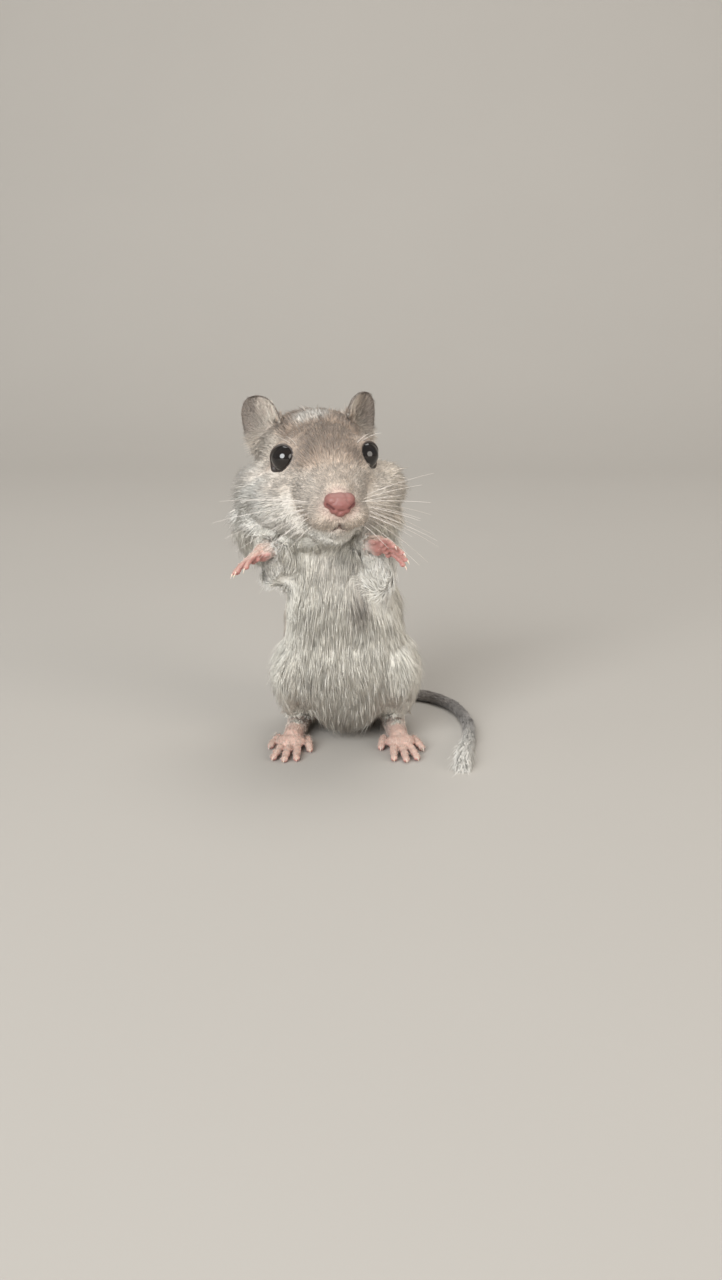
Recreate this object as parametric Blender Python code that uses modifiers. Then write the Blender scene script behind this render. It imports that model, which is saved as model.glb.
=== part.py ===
"""A young gerbil sitting up on its hind feet, life size, as a still museum model.

Metres, +Z up. It looks along -Y, its left side is +X, and the floor is Z = 0.
All sizes run to the tips of the short coat. The flesh is modelled whole and then
parted into head, neck, torso and legs by thin cuts.
"""

import math

import bmesh
import bpy
from mathutils import Euler, Matrix, Vector

MM = 0.001
GAP = 0.35 * MM          # left between neighbouring nodes
FLOOR = 0.0

# Pose: the head sits forward on the neck, a little turned and nodding
HEAD_PLACE = Vector((-5.05, -4.5, 47.25)) * MM
HEAD_YAW = math.radians(11.5)
HEAD_NOD = math.radians(4.0)
HEAD_ROLL = math.radians(-0.6)

# Head sizes
EYE_RADIUS = 2.45 * MM
EYE_SPREAD = 6.25 * MM   # from the middle of the head to each eye
EYE_HEIGHT = 3.0 * MM    # above the middle of the head
EYE_FORWARD = 5.8 * MM
EYE_SIDEWAYS = math.radians(62.0)   # how far each eye looks away from the nose
EYE_UPWARDS = math.radians(13.0)
ORBIT_RADIUS = 3.3 * MM            # the flesh that holds an eye
ORBIT_DEPTH = 1.35 * MM
LID_RADIUS = 2.3 * MM
LID_THICKNESS = 0.55 * MM
LID_FORWARD = 0.95 * MM
EAR_HEIGHT = 9.5 * MM
EAR_WIDTH = 7.8 * MM
EAR_SHELL = 0.75 * MM
EAR_CUP = 2.3 * MM
EAR_ROOT = Vector((7.9, 5.0, 2.0)) * MM
EAR_LEANS = {-1: math.radians(9.0), 1: math.radians(2.0)}   # outwards, right and left
EAR_TURN = math.radians(44.0)       # how far the cup faces away from the nose

# Foot and paw sizes
HIND_FOOT_SPREAD = 8.5 * MM         # from the middle of the body
HIND_FOOT_SPLAY = math.radians(6.0)
HIND_TOE = 5.8 * MM
PAW_FINGER = 4.1 * MM
CLAW_LENGTH = 1.1 * MM

# Tail sizes
TAIL_ROOT_RADIUS = 1.6 * MM
TAIL_TIP_RADIUS = 1.05 * MM
TAIL_LENGTHS = (18.0 * MM, 20.0 * MM)   # of the base and the middle
TAIL_SINK = 0.22 * MM               # how deep the tail presses flat on the floor
TUFT_LOCKS = 30
TUFT_LENGTH = 7.0 * MM

# Triangles that the flesh and each node may have
FLESH_TRIANGLES = 9000
PAW_TRIANGLES = 860
FOOT_TRIANGLES = 940
NODE_TRIANGLES = {
    "head": 3700, "nose": 300, "neck": 460, "torso": 2500, "foreleg": 420, "hind_leg": 760, "ear": 430,
}

# Flesh forms in millimetres: centre, radii, and turn about X, Y and Z in degrees
TRUNK = (
    ((-0.6, 6.6, 11.3), (11.4, 11.0, 10.5), (0, 0, 0)),     # rump
    ((-0.8, -1.2, 14.2), (11.2, 10.8, 12.2), (0, 0, 0)),    # belly
    ((-1.2, 4.6, 19.8), (10.3, 10.6, 12.2), (8, -3, 0)),    # loin
    ((-1.4, -2.4, 23.4), (8.8, 8.9, 10.2), (0, -4, 0)),     # front of the waist
    ((-1.3, 3.2, 23.6), (9.9, 10.5, 9.8), (0, -4, 0)),      # flanks of the waist
    ((-2.6, 0.2, 28.8), (9.0, 10.0, 10.2), (4, -6, 0)),     # chest
    ((-2.7, 4.3, 29.6), (9.0, 9.0, 8.4), (0, -6, 0)),       # behind the shoulders
    ((-3.3, 3.4, 33.0), (9.8, 9.4, 9.2), (0, -6, 0)),       # shoulders
    ((-4.6, 1.8, 38.8), (11.2, 10.0, 8.4), (0, -6, 0)),     # neck
    ((-5.0, -3.6, 38.6), (9.6, 7.8, 7.2), (0, 0, 0)),       # ruff
    ((-13.0, 0.4, 38.0), (6.6, 7.8, 7.8), (0, 14, 0)),      # ruff over the lifted shoulder
)
TRUNK_FILL = 0.8 * MM    # what smoothing takes off the trunk
HAUNCH = (
    ((8.0, 1.2, 10.8), (5.1, 9.8, 8.4), (-14, 0, 6)),       # thigh
    ((8.4, -5.4, 12.4), (4.1, 4.8, 5.4), (0, 0, 0)),        # knee
    ((8.4, 6.2, 5.0), (3.5, 4.6, 3.9), (0, 0, 0)),          # hock
)
HAUNCH_SHIFT = -0.7      # the lower body's middle, beside the middle of the frame
HEAD = (
    ((0.0, 3.4, 0.7), (9.7, 10.6, 8.5), (0, 0, 0)),         # skull
    ((0.0, -4.0, 1.0), (8.7, 9.0, 7.0), (10, 0, 0)),        # brow
    ((0.0, -9.4, -1.7), (6.2, 8.4, 5.6), (15, 0, 0)),       # bridge
    ((0.0, -12.6, -3.6), (5.0, 6.6, 4.5), (10, 0, 0)),      # muzzle
    ((0.0, -8.6, -6.6), (4.6, 7.8, 3.9), (8, 0, 0)),        # lower jaw
    ((0.0, -1.0, -7.4), (9.6, 9.4, 6.4), (0, 0, 0)),        # throat
)
CHEEKS = (
    ((6.4, -0.8, -4.3), (6.9, 8.6, 6.2), (0, 0, 8)),        # jowl
    ((9.2, -0.4, -3.9), (5.2, 6.0, 5.0), (0, 0, 14)),       # cheek fluff
    ((8.8, 0.8, -7.5), (5.5, 6.4, 5.5), (0, 0, 10)),        # fluff below it
)

TORSO_COLOUR = (0.60, 0.55, 0.50)
PALE_COLOUR = (0.83, 0.80, 0.75)
SKIN_COLOUR = (0.72, 0.48, 0.45)
EAR_COLOUR = (0.45, 0.41, 0.38)
TAIL_COLOUR = (0.36, 0.34, 0.33)
EYE_COLOUR = (0.01, 0.008, 0.008)


def clear_scene():
    """Removes every object that the new file starts with."""
    for obj in list(bpy.data.objects):
        bpy.data.objects.remove(obj)


def collection(name):
    """A new collection in the scene."""
    made = bpy.data.collections.new(name)
    bpy.context.scene.collection.children.link(made)
    return made


def material(name, colour, roughness):
    """A Principled material of one colour."""
    made = bpy.data.materials.new(name)
    made.use_nodes = True
    shader = made.node_tree.nodes["Principled BSDF"]
    shader.inputs["Base Color"].default_value = (*colour, 1.0)
    shader.inputs["Roughness"].default_value = roughness
    shader.inputs["Metallic"].default_value = 0.0
    return made


def new_object(name, form, group):
    """An object in a collection, from a bmesh that this frees."""
    mesh = bpy.data.meshes.new(name)
    form.to_mesh(mesh)
    form.free()
    obj = bpy.data.objects.new(name, mesh)
    group.objects.link(obj)
    return obj


def duplicate(obj, name, group):
    """A copy of an object with a mesh of its own."""
    made = bpy.data.objects.new(name, obj.data.copy())
    group.objects.link(made)
    return made


def settle(obj):
    """Puts the mesh that an object's modifiers make in the place of its own."""
    graph = bpy.context.evaluated_depsgraph_get()
    mesh = bpy.data.meshes.new_from_object(obj.evaluated_get(graph))
    obj.modifiers.clear()
    obj.data = mesh


def closed(mesh):
    """Whether a mesh is one clean skin: two faces to an edge, one fan to a point, nothing folded flat."""
    form = bmesh.new()
    form.from_mesh(mesh)
    bmesh.ops.triangulate(form, faces=form.faces)
    whole = all(edge.is_manifold and edge.is_contiguous for edge in form.edges)
    whole = whole and all(vert.is_manifold for vert in form.verts)
    whole = whole and min(edge.calc_length() for edge in form.edges) > 0.002 * MM
    corners = {frozenset(face.verts) for face in form.faces}
    whole = whole and len(corners) == len(form.faces)
    form.free()
    return whole


def melt(obj, voxel, rounds):
    """Melts overlapping forms into one closed surface and smooths it."""
    forms = obj.data
    for extra in range(6):
        obj.data = forms
        remesh = obj.modifiers.new("Melt", "REMESH")
        remesh.mode = "VOXEL"
        remesh.voxel_size = voxel * (1 + 0.023 * extra)
        smooth = obj.modifiers.new("Soften", "SMOOTH")
        smooth.factor = 0.5
        smooth.iterations = rounds
        settle(obj)
        largest_body(obj)
        if closed(obj.data):
            return


def facet(obj, triangles):
    """Thins a mesh to about this many triangles, keeping the most where it bends most."""
    form = bmesh.new()
    form.from_mesh(obj.data)
    bmesh.ops.triangulate(form, faces=form.faces)
    form.to_mesh(obj.data)
    form.free()
    now = sum(len(face.vertices) - 2 for face in obj.data.polygons)
    dense = obj.data
    for extra in range(12):
        obj.data = dense
        decimate = obj.modifiers.new("Facet", "DECIMATE")
        decimate.ratio = min(1.0, triangles * (1 + 0.03 * extra) / now)
        settle(obj)
        if closed(obj.data):
            return
    print(f"{obj.name} can't be thinned to {triangles} triangles and stay closed")


def largest_body(obj):
    """Keeps only the largest closed surface of a mesh."""
    form = bmesh.new()
    form.from_mesh(obj.data)
    unseen = set(form.verts)
    bodies = []
    while unseen:
        front = [unseen.pop()]
        body = set(front)
        while front:
            for edge in front.pop().link_edges:
                for vert in edge.verts:
                    if vert in unseen:
                        unseen.discard(vert)
                        body.add(vert)
                        front.append(vert)
        bodies.append(body)
    best = max(bodies, key=len)
    bmesh.ops.delete(form, geom=[vert for vert in form.verts if vert not in best], context="VERTS")
    form.to_mesh(obj.data)
    form.free()


def combine(obj, other, operation):
    """Cuts, joins or crosses one closed mesh with another, and keeps one body."""
    boolean = obj.modifiers.new("Combine", "BOOLEAN")
    boolean.operation = operation
    boolean.solver = "MANIFOLD"
    boolean.object = other
    settle(obj)
    largest_body(obj)


def fuse(obj, pieces):
    """Joins a collection of closed meshes onto one object, then removes them."""
    boolean = obj.modifiers.new("Fuse", "BOOLEAN")
    boolean.operation = "UNION"
    boolean.solver = "MANIFOLD"
    boolean.operand_type = "COLLECTION"
    boolean.collection = pieces
    settle(obj)
    for piece in list(pieces.objects):
        bpy.data.objects.remove(piece)
    largest_body(obj)


def turned(degrees):
    """A rotation from degrees about X, Y and Z."""
    return Euler([math.radians(angle) for angle in degrees]).to_matrix().to_4x4()


def add_ball(form, place, centre, radii, turn=(0, 0, 0), grow=0.0, fine=1):
    """Adds an ellipsoid of flesh to a bmesh, in a part's own place."""
    scale = Matrix.Diagonal((*[radius + grow for radius in radii], 1.0))
    matrix = place @ Matrix.Translation(centre) @ turned(turn) @ scale
    bmesh.ops.create_uvsphere(form, u_segments=16 * fine, v_segments=10 * fine, radius=1.0, matrix=matrix)


def add_limb(form, place, points, radii, grow=0.0):
    """Adds a ball at each point and a tapered sleeve between each two."""
    for point, radius in zip(points, radii):
        add_ball(form, place, point, (radius,) * 3, grow=grow)
    for (low, high), (wide, thin) in zip(zip(points, points[1:]), zip(radii, radii[1:])):
        along = Vector(high) - Vector(low)
        aim = along.to_track_quat("Z", "Y").to_matrix().to_4x4()
        matrix = place @ Matrix.Translation((Vector(low) + Vector(high)) / 2) @ aim
        bmesh.ops.create_cone(
            form, cap_ends=True, segments=16, radius1=wide + grow, radius2=thin + grow,
            depth=along.length, matrix=matrix,
        )


def add_forms(form, place, forms, side=1, grow=0.0):
    """Adds forms given in millimetres, mirrored where side is -1."""
    for centre, radii, turn in forms:
        x, y, z = centre
        about_x, about_y, about_z = turn
        add_ball(
            form, place, (side * x * MM, y * MM, z * MM), [radius * MM for radius in radii],
            (about_x, side * about_y, side * about_z), grow, 2,
        )


def head_place():
    """The head's own place: its middle at the origin, its nose along -Y."""
    turn = Matrix.Rotation(HEAD_YAW, 4, "Z") @ Matrix.Rotation(HEAD_NOD, 4, "X")
    turn @= Matrix.Rotation(HEAD_ROLL, 4, "Y")
    return Matrix.Translation(HEAD_PLACE) @ turn


def haunch_place():
    """The place of both haunches and hind feet, beside the middle of the frame."""
    return Matrix.Translation((HAUNCH_SHIFT * MM, 0, 0))


def eye_axis(side):
    """The way that an eye looks, in the head's own place."""
    flat = math.cos(EYE_UPWARDS)
    return Vector((side * math.sin(EYE_SIDEWAYS) * flat, -math.cos(EYE_SIDEWAYS) * flat, math.sin(EYE_UPWARDS)))


def eye_centre(side):
    """The middle of an eyeball, in the head's own place."""
    return Vector((side * EYE_SPREAD, -EYE_FORWARD, EYE_HEIGHT))


def add_head(form, grow=0.0):
    """The smooth mass of the head."""
    place = head_place()
    add_forms(form, place, HEAD, 1, grow)
    for side in (-1, 1):
        add_forms(form, place, CHEEKS, side, grow)


def add_face(form):
    """Nose, lips, whisker pads, chin, brows and lids, over the smooth head."""
    place = head_place()
    add_ball(form, place, (0, -18.6 * MM, -1.5 * MM), (2.2 * MM, 2.0 * MM, 1.9 * MM))
    add_ball(form, place, (0, -15.4 * MM, -6.6 * MM), (2.5 * MM, 2.5 * MM, 1.5 * MM))
    add_ball(form, place, (0, -12.6 * MM, 0.6 * MM), (3.1 * MM, 6.4 * MM, 2.2 * MM), (16, 0, 0))
    for side in (-1, 1):
        add_ball(form, place, (side * 2.3 * MM, -15.9 * MM, -3.9 * MM), (2.9 * MM, 3.4 * MM, 2.6 * MM))
        aim = eye_axis(side).to_track_quat("Z", "Y").to_matrix().to_4x4()
        orbit = place @ Matrix.Translation(eye_centre(side) - eye_axis(side) * ORBIT_DEPTH)
        add_ball(form, orbit, (0, 0, 0), (ORBIT_RADIUS,) * 3)
        ring = place @ Matrix.Translation(eye_centre(side) + eye_axis(side) * LID_FORWARD) @ aim
        beads = 20
        for bead in range(beads):
            angle = 2 * math.pi * bead / beads
            spot = Vector((math.cos(angle), math.sin(angle), 0)) * LID_RADIUS
            add_ball(form, ring, spot, (LID_THICKNESS,) * 3)


ARM_RIGHT = ((-9.8, 1.0, 33.6), (-12.1, -3.0, 30.0), (-12.6, -9.8, 34.6))
ARM_LEFT = ((4.0, 1.0, 33.2), (4.7, -5.2, 29.0), (3.1, -11.2, 35.8))
ARM_RADII = (4.6 * MM, 3.2 * MM, 1.9 * MM)


def arm_points(side):
    """Shoulder, elbow and wrist of a foreleg, which differ a little as the gerbil holds its paws."""
    return [Vector(point) * MM for point in (ARM_RIGHT if side < 0 else ARM_LEFT)]


def make_flesh(group):
    """The whole body without feet, paws, ears and tail, as one faceted mesh."""
    level = Matrix.Identity(4)
    form = bmesh.new()
    add_forms(form, level, TRUNK, 1, TRUNK_FILL)
    trunk = new_object("trunk", form, group)
    melt(trunk, 0.7 * MM, 110)
    form = bmesh.new()
    form.from_mesh(trunk.data)
    for side in (-1, 1):
        add_forms(form, haunch_place(), HAUNCH, side)
    add_head(form)
    flesh = new_object("flesh", form, group)
    melt(flesh, 0.5 * MM, 14)
    form = bmesh.new()
    form.from_mesh(flesh.data)
    add_face(form)
    for side in (-1, 1):
        add_limb(form, level, arm_points(side), ARM_RADII)
    form.to_mesh(flesh.data)
    form.free()
    melt(flesh, 0.3 * MM, 5)
    facet(flesh, FLESH_TRIANGLES)
    return flesh


def region(name, group, forms, grow):
    """A closed region that parts a node from the flesh. forms fills a bmesh and takes grow."""
    form = bmesh.new()
    forms(form, grow)
    made = new_object(name, form, group)
    melt(made, 0.5 * MM, 2)
    facet(made, 900)
    return made


def part_off(rest, name, forms, group, helpers):
    """Parts a node from the rest of the flesh, with a gap between them."""
    node = duplicate(rest, name, group)
    combine(node, region(name + "_region", helpers, forms, 0.0), "INTERSECT")
    combine(rest, region(name + "_margin", helpers, forms, GAP), "DIFFERENCE")
    return node


def slab(name, group, point, lean, low, high):
    """A wide block across the body from low to high along a leaning upright axis."""
    form = bmesh.new()
    wide = 80 * MM
    aim = Matrix.Translation(point) @ Matrix.Rotation(lean, 4, "X")
    block = aim @ Matrix.Translation((0, 0, (low + high) / 2)) @ Matrix.Diagonal((wide, wide, high - low, 1))
    bmesh.ops.create_cube(form, size=1.0, matrix=block)
    return new_object(name, form, group)


def cut_face(head, helpers):
    """Cuts the eye sockets, the nostrils and the line of the mouth."""
    place = head_place()
    for side in (-1, 1):
        form = bmesh.new()
        add_ball(form, place, eye_centre(side), (EYE_RADIUS,) * 3, grow=GAP, fine=2)
        combine(head, new_object("socket", form, helpers), "DIFFERENCE")
    mouth = ((-3.9, -13.6, -6.0), (-2.4, -16.6, -5.9), (0.0, -18.6, -5.2), (2.4, -16.6, -5.9), (3.9, -13.6, -6.0))
    cut_groove(head, [place @ (Vector(point) * MM) for point in mouth], 0.34 * MM, helpers)
    cleft = ((0.0, -19.6, -3.4), (0.0, -19.2, -4.4), (0.0, -18.6, -5.4))
    cut_groove(head, [place @ (Vector(point) * MM) for point in cleft], 0.26 * MM, helpers)


def cut_groove(obj, points, radius, helpers):
    """Cuts a thin groove along a line that is first laid on the surface."""
    laid = []
    for low, high in zip(points, points[1:]):
        for step in range(3):
            aim = low.lerp(high, step / 3)
            laid.append(obj.closest_point_on_mesh(aim)[1])
    laid.append(obj.closest_point_on_mesh(points[-1])[1])
    form = bmesh.new()
    add_limb(form, Matrix.Identity(4), laid, [radius] * len(laid))
    groove = new_object("groove", form, helpers)
    melt(groove, 0.12 * MM, 1)
    facet(groove, 500)
    combine(obj, groove, "DIFFERENCE")


def make_head_parts(flesh, group, helpers):
    """Head and nose, parted from the flesh, and the eyes in their sockets."""
    place = head_place()

    def nose_forms(form, grow):
        add_ball(form, place, (0, -20.0 * MM, -1.6 * MM), (2.6 * MM, 2.1 * MM, 2.0 * MM), (14, 0, 0), grow, 2)

    crown = Vector((-5.0, 0.0, 40.6)) * MM
    lean = math.radians(14.0)
    head = duplicate(flesh, "head", group)
    combine(head, slab("above_neck", helpers, crown, lean, GAP / 2, 60 * MM), "INTERSECT")
    combine(flesh, slab("below_head", helpers, crown, lean, -GAP / 2, 60 * MM), "DIFFERENCE")
    nose = part_off(head, "nose", nose_forms, group, helpers)
    for side in (-1, 1):
        form = bmesh.new()
        add_ball(
            form, place, (side * 1.15 * MM, -20.9 * MM, -1.7 * MM), (0.42 * MM, 1.0 * MM, 0.62 * MM),
            (0, side * 24, side * -18),
        )
        combine(nose, new_object("nostril", form, helpers), "DIFFERENCE")
    cut_face(head, helpers)
    eyes = []
    for side, name in ((-1, "eye_right"), (1, "eye_left")):
        form = bmesh.new()
        add_ball(form, place, eye_centre(side), (EYE_RADIUS,) * 3, fine=1)
        eyes.append(new_object(name, form, group))
    return head, nose, eyes


def ear_half_width(share):
    """Half the width of the ear at a share of its height: an oval that is cut off at its root."""
    return EAR_WIDTH / 2 * (1 - abs((share - 0.48) / 0.525) ** 2.5) ** (1 / 2.2)


def make_ear(name, side, skull, group):
    """A cupped ear: an open curved sheet with thickness, whose root meets the head."""
    columns, rows = 7, 9
    form = bmesh.new()
    grid = []
    for row in range(rows):
        share = math.sin(math.pi / 2 * row / (rows - 1))
        half = ear_half_width(share)
        line = []
        for column in range(columns):
            across = 2 * column / (columns - 1) - 1
            bowl = half / (EAR_WIDTH / 2) * (1 - 0.25 * share)
            cup = EAR_CUP * (1 - across * across) * bowl
            curl = 0.3 * MM * share * share
            line.append(form.verts.new((across * half, cup - curl, share * EAR_HEIGHT)))
        grid.append(line)
    for low, high in zip(grid, grid[1:]):
        for column in range(columns - 1):
            form.faces.new((low[column], low[column + 1], high[column + 1], high[column]))
    bmesh.ops.recalc_face_normals(form, faces=form.faces)
    ear = new_object(name, form, group)
    shell = ear.modifiers.new("Shell", "SOLIDIFY")
    shell.thickness = EAR_SHELL
    shell.offset = 0.0
    soft = ear.modifiers.new("Soft", "SUBSURF")
    soft.levels = 1
    soft.render_levels = 1
    settle(ear)
    turn = Matrix.Rotation(side * EAR_LEANS[side], 4, "Y") @ Matrix.Rotation(side * EAR_TURN, 4, "Z")
    root = Vector((side * EAR_ROOT.x, EAR_ROOT.y, EAR_ROOT.z))
    ear.data.transform(head_place() @ Matrix.Translation(root) @ turn)
    combine(ear, skull, "DIFFERENCE")
    return ear


def paw_place(side):
    """A forepaw's own place: the wrist at the origin, the fingers along -Y, its back up."""
    wrist = arm_points(side)[2]
    if side < 0:
        aim, back = Vector((-0.86, -0.36, -0.24)), Vector((-0.12, 0.30, 0.95))
    else:
        aim, back = Vector((0.82, -0.44, -0.02)), Vector((-0.06, 0.72, 0.68))
    forward = -aim.normalized()
    across = forward.cross(back).normalized()
    up = across.cross(forward).normalized()
    turn = Matrix((across, forward, up)).transposed().to_4x4()
    return Matrix.Translation(wrist) @ turn


def add_digit(form, place, root, heading, length, radius, droop):
    """A finger or toe of three bones with a claw at its end."""
    step = Vector((math.sin(heading), -math.cos(heading), 0)) * length / 3
    points = [Vector(root)]
    for bone in (1, 2, 3):
        points.append(points[-1] + step + Vector((0, 0, -droop * (0.2 + 0.5 * bone))))
    radii = [radius, radius * 0.95, radius * 0.88, radius * 0.84]
    add_limb(form, place, points, radii)
    reach = (points[-1] - points[-2]).normalized()
    claw_root = points[-1] + reach * radius * 0.3
    claw_middle = claw_root + (reach + Vector((0, 0, 0.10))) * CLAW_LENGTH * 0.55
    claw_tip = claw_middle + (reach + Vector((0, 0, -0.45))) * CLAW_LENGTH * 0.55
    add_limb(form, place, (claw_root, claw_middle, claw_tip), (0.36 * MM, 0.29 * MM, 0.18 * MM))


def make_forepaw(name, side, group):
    """A forepaw: palm, pads, four fingers, a thumb stub and claws."""
    place = paw_place(side)
    form = bmesh.new()
    add_limb(form, place, ((0, -0.6 * MM, 0), (0, -1.8 * MM, 0)), (1.45 * MM, 1.7 * MM))
    add_ball(form, place, (0, -2.3 * MM, -0.1 * MM), (2.15 * MM, 2.0 * MM, 1.15 * MM))
    for number, length in enumerate((0.84, 1.0, 0.97, 0.76)):
        spread = number - 1.5
        root = (spread * 1.12 * MM, -3.0 * MM, 0)
        add_digit(form, place, root, spread * math.radians(13), PAW_FINGER * length, 0.58 * MM, 0.42 * MM)
        add_ball(form, place, (spread * 1.05 * MM, -3.3 * MM, -0.85 * MM), (0.6 * MM,) * 3)
    add_ball(form, place, (-side * 1.7 * MM, -1.5 * MM, -0.6 * MM), (0.75 * MM, 0.9 * MM, 0.6 * MM))
    add_ball(form, place, (side * 0.9 * MM, -1.4 * MM, -0.95 * MM), (0.9 * MM, 1.1 * MM, 0.7 * MM))
    paw = new_object(name, form, group)
    melt(paw, 0.15 * MM, 3)
    facet(paw, PAW_TRIANGLES)
    return paw


def foot_place(side):
    """A hind foot's own place: under the ankle, toes along -Y."""
    splay = Matrix.Rotation(side * HIND_FOOT_SPLAY, 4, "Z")
    return haunch_place() @ Matrix.Translation((side * HIND_FOOT_SPREAD, -1.0 * MM, FLOOR)) @ splay


FOOT_SOLE = ((0, 7.0, 1.95), (0, 0.5, 1.75), (0, -6.0, 1.6))
FOOT_SOLE_RADII = (2.1 * MM, 1.9 * MM, 1.85 * MM)


def sole_points():
    """Heel, middle and ball of the foot."""
    return [Vector(point) * MM for point in FOOT_SOLE]


def make_hind_foot(name, side, group):
    """A long hind foot flat on the floor: sole, pads, five toes and claws."""
    place = foot_place(side)
    form = bmesh.new()
    add_limb(form, place, sole_points(), FOOT_SOLE_RADII)
    add_ball(form, place, (0, -7.2 * MM, 1.25 * MM), (2.75 * MM, 2.8 * MM, 1.5 * MM))
    toes = ((-2, 0.60, -4.6), (-1, 0.94, -8.6), (0, 1.0, -9.0), (1, 0.94, -8.6), (2, 0.66, -5.4))
    for number, length, start in toes:
        root = (number * 1.28 * MM, start * MM, 1.0 * MM)
        heading = number * math.radians(6.5)
        add_digit(form, place, root, heading, HIND_TOE * length, 0.78 * MM, 0.09 * MM)
    foot = new_object(name, form, group)
    melt(foot, 0.16 * MM, 3)
    facet(foot, FOOT_TRIANGLES)
    return foot


TAIL_ROUTE = (
    (0.4, 14.4, 7.4), (2.4, 18.6, 4.0), (7.6, 21.4, 1.5), (14.0, 20.0, 1.3), (18.6, 14.4, 1.2),
    (20.6, 6.0, 1.1), (20.6, -3.0, 1.0), (19.4, -11.0, 0.9), (18.6, -17.5, 0.8),
)


def smooth_route(route, spacing):
    """Points evenly spaced along a smooth curve through a route."""
    ends = [2 * route[0] - route[1], *route, 2 * route[-1] - route[-2]]
    dense = []
    for before, start, stop, after in zip(ends, ends[1:], ends[2:], ends[3:]):
        for step in range(20):
            t = step / 20
            dense.append(0.5 * (
                2 * start + (stop - before) * t + (2 * before - 5 * start + 4 * stop - after) * t * t
                + (3 * start - before - 3 * stop + after) * t ** 3
            ))
    dense.append(route[-1])
    lengths = [0.0]
    for low, high in zip(dense, dense[1:]):
        lengths.append(lengths[-1] + (high - low).length)
    count = round(lengths[-1] / spacing)
    points = []
    for number in range(count + 1):
        wanted = lengths[-1] * number / count
        place = max(index for index, length in enumerate(lengths) if length <= wanted + 1e-9)
        if place == len(dense) - 1:
            points.append(dense[-1])
            continue
        share = (wanted - lengths[place]) / (lengths[place + 1] - lengths[place])
        points.append(dense[place].lerp(dense[place + 1], share))
    return points, lengths[-1] / count


def tail_radius(share):
    """The tail's radius at a share of its length."""
    return TAIL_TIP_RADIUS + (TAIL_ROOT_RADIUS - TAIL_TIP_RADIUS) * (1 - share) ** 2.2


def tube(name, points, radii, sides, group):
    """A closed round tube of changing radius, as a curve made into a mesh."""
    curve = bpy.data.curves.new(name, "CURVE")
    curve.dimensions = "3D"
    curve.bevel_depth = 1.0
    curve.bevel_resolution = sides
    curve.use_fill_caps = True
    spline = curve.splines.new("POLY")
    spline.points.add(len(points) - 1)
    for spot, point, radius in zip(spline.points, points, radii):
        spot.co = (*point, 1.0)
        spot.radius = radius
    guide = bpy.data.objects.new(name + "_line", curve)
    group.objects.link(guide)
    graph = bpy.context.evaluated_depsgraph_get()
    mesh = bpy.data.meshes.new_from_object(guide.evaluated_get(graph))
    bpy.data.objects.remove(guide)
    form = bmesh.new()
    form.from_mesh(mesh)
    bmesh.ops.remove_doubles(form, verts=form.verts, dist=0.005 * MM)
    bmesh.ops.recalc_face_normals(form, faces=form.faces)
    return new_object(name, form, group)


def tail_line():
    """Points along the tail, lowered so that it presses flat on the floor, and their radii."""
    points, spacing = smooth_route([Vector(point) * MM for point in TAIL_ROUTE], 2.2 * MM)
    radii = [tail_radius(index / (len(points) - 1)) for index in range(len(points))]
    radii[-1] *= 0.6
    for point, radius in zip(points, radii):
        lying = radius - TAIL_SINK
        rise = max(0.0, point.z - 1.6 * MM)
        point.z = lying + rise
    return points, radii, spacing


def tuft_locks(points, radii, pieces):
    """Flat tapered locks round the end of the tail that bend back along it."""
    last = len(points) - 1
    for number in range(TUFT_LOCKS):
        share = number / (TUFT_LOCKS - 1)
        index = last - 6 + round(5.4 * share)
        along = (points[index + 1 if index < last else index] - points[index - 1]).normalized()
        across = along.cross(Vector((0, 0, 1))).normalized()
        up = across.cross(along)
        angle = number * math.radians(137.5)
        out = across * math.cos(angle) + up * math.sin(angle)
        root = points[index] + out * radii[index] * 0.45
        length = TUFT_LENGTH * (0.82 + 0.36 * ((number * 7) % 5) / 4)
        lock = []
        for step in range(4):
            reach = step / 3
            spread = 0.30 * math.sin(math.pi * 0.75 * reach)
            lock.append(root + (along * reach + out * spread * 0.55) * length)
        widths = [0.62 * MM, 0.55 * MM, 0.40 * MM, 0.10 * MM]
        piece = tube(f"lock_{number}", lock, widths, 0, pieces)
        piece.data.name = f"lock_{number}"


def make_tail(group, helpers, floor):
    """The tail in three lengths that lie on the floor, the last with its brush."""
    points, radii, spacing = tail_line()
    first = round(TAIL_LENGTHS[0] / spacing)
    second = first + round(TAIL_LENGTHS[1] / spacing)
    nodes = []
    spans = (("tail_base", 0, first), ("tail_middle", first, second), ("tail_tip", second, len(points) - 1))
    for name, low, high in spans:
        line = [point.copy() for point in points[low:high + 1]]
        if low:
            line[0] += (line[1] - line[0]).normalized() * GAP / 2
        if high < len(points) - 1:
            line[-1] += (line[-2] - line[-1]).normalized() * GAP / 2
        nodes.append(tube(name, line, radii[low:high + 1], 3, group))
    locks = collection("tuft")
    tuft_locks(points, radii, locks)
    fuse(nodes[-1], locks)
    for node in nodes:
        combine(node, floor, "DIFFERENCE")
    return nodes


def finish(obj, colour):
    """Thins a node that the cuts left dense, and gives it its material and its shading."""
    kind = obj.name.removesuffix("_left").removesuffix("_right")
    if kind in NODE_TRIANGLES:
        facet(obj, NODE_TRIANGLES[kind])
    obj.data.materials.clear()
    obj.data.materials.append(colour)
    obj.data.shade_smooth()
    obj.data.set_sharp_from_angle(angle=math.radians(40))


def stand_in_middle(group):
    """Moves the whole gerbil so that its box stands on the floor round the origin."""
    corners = [vert.co for obj in group.objects for vert in obj.data.vertices]
    low = Vector([min(point[axis] for point in corners) for axis in range(3)])
    high = Vector([max(point[axis] for point in corners) for axis in range(3)])
    step = Vector((-(low.x + high.x) / 2, -(low.y + high.y) / 2, -low.z))
    for obj in group.objects:
        obj.data.transform(Matrix.Translation(step))


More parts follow.
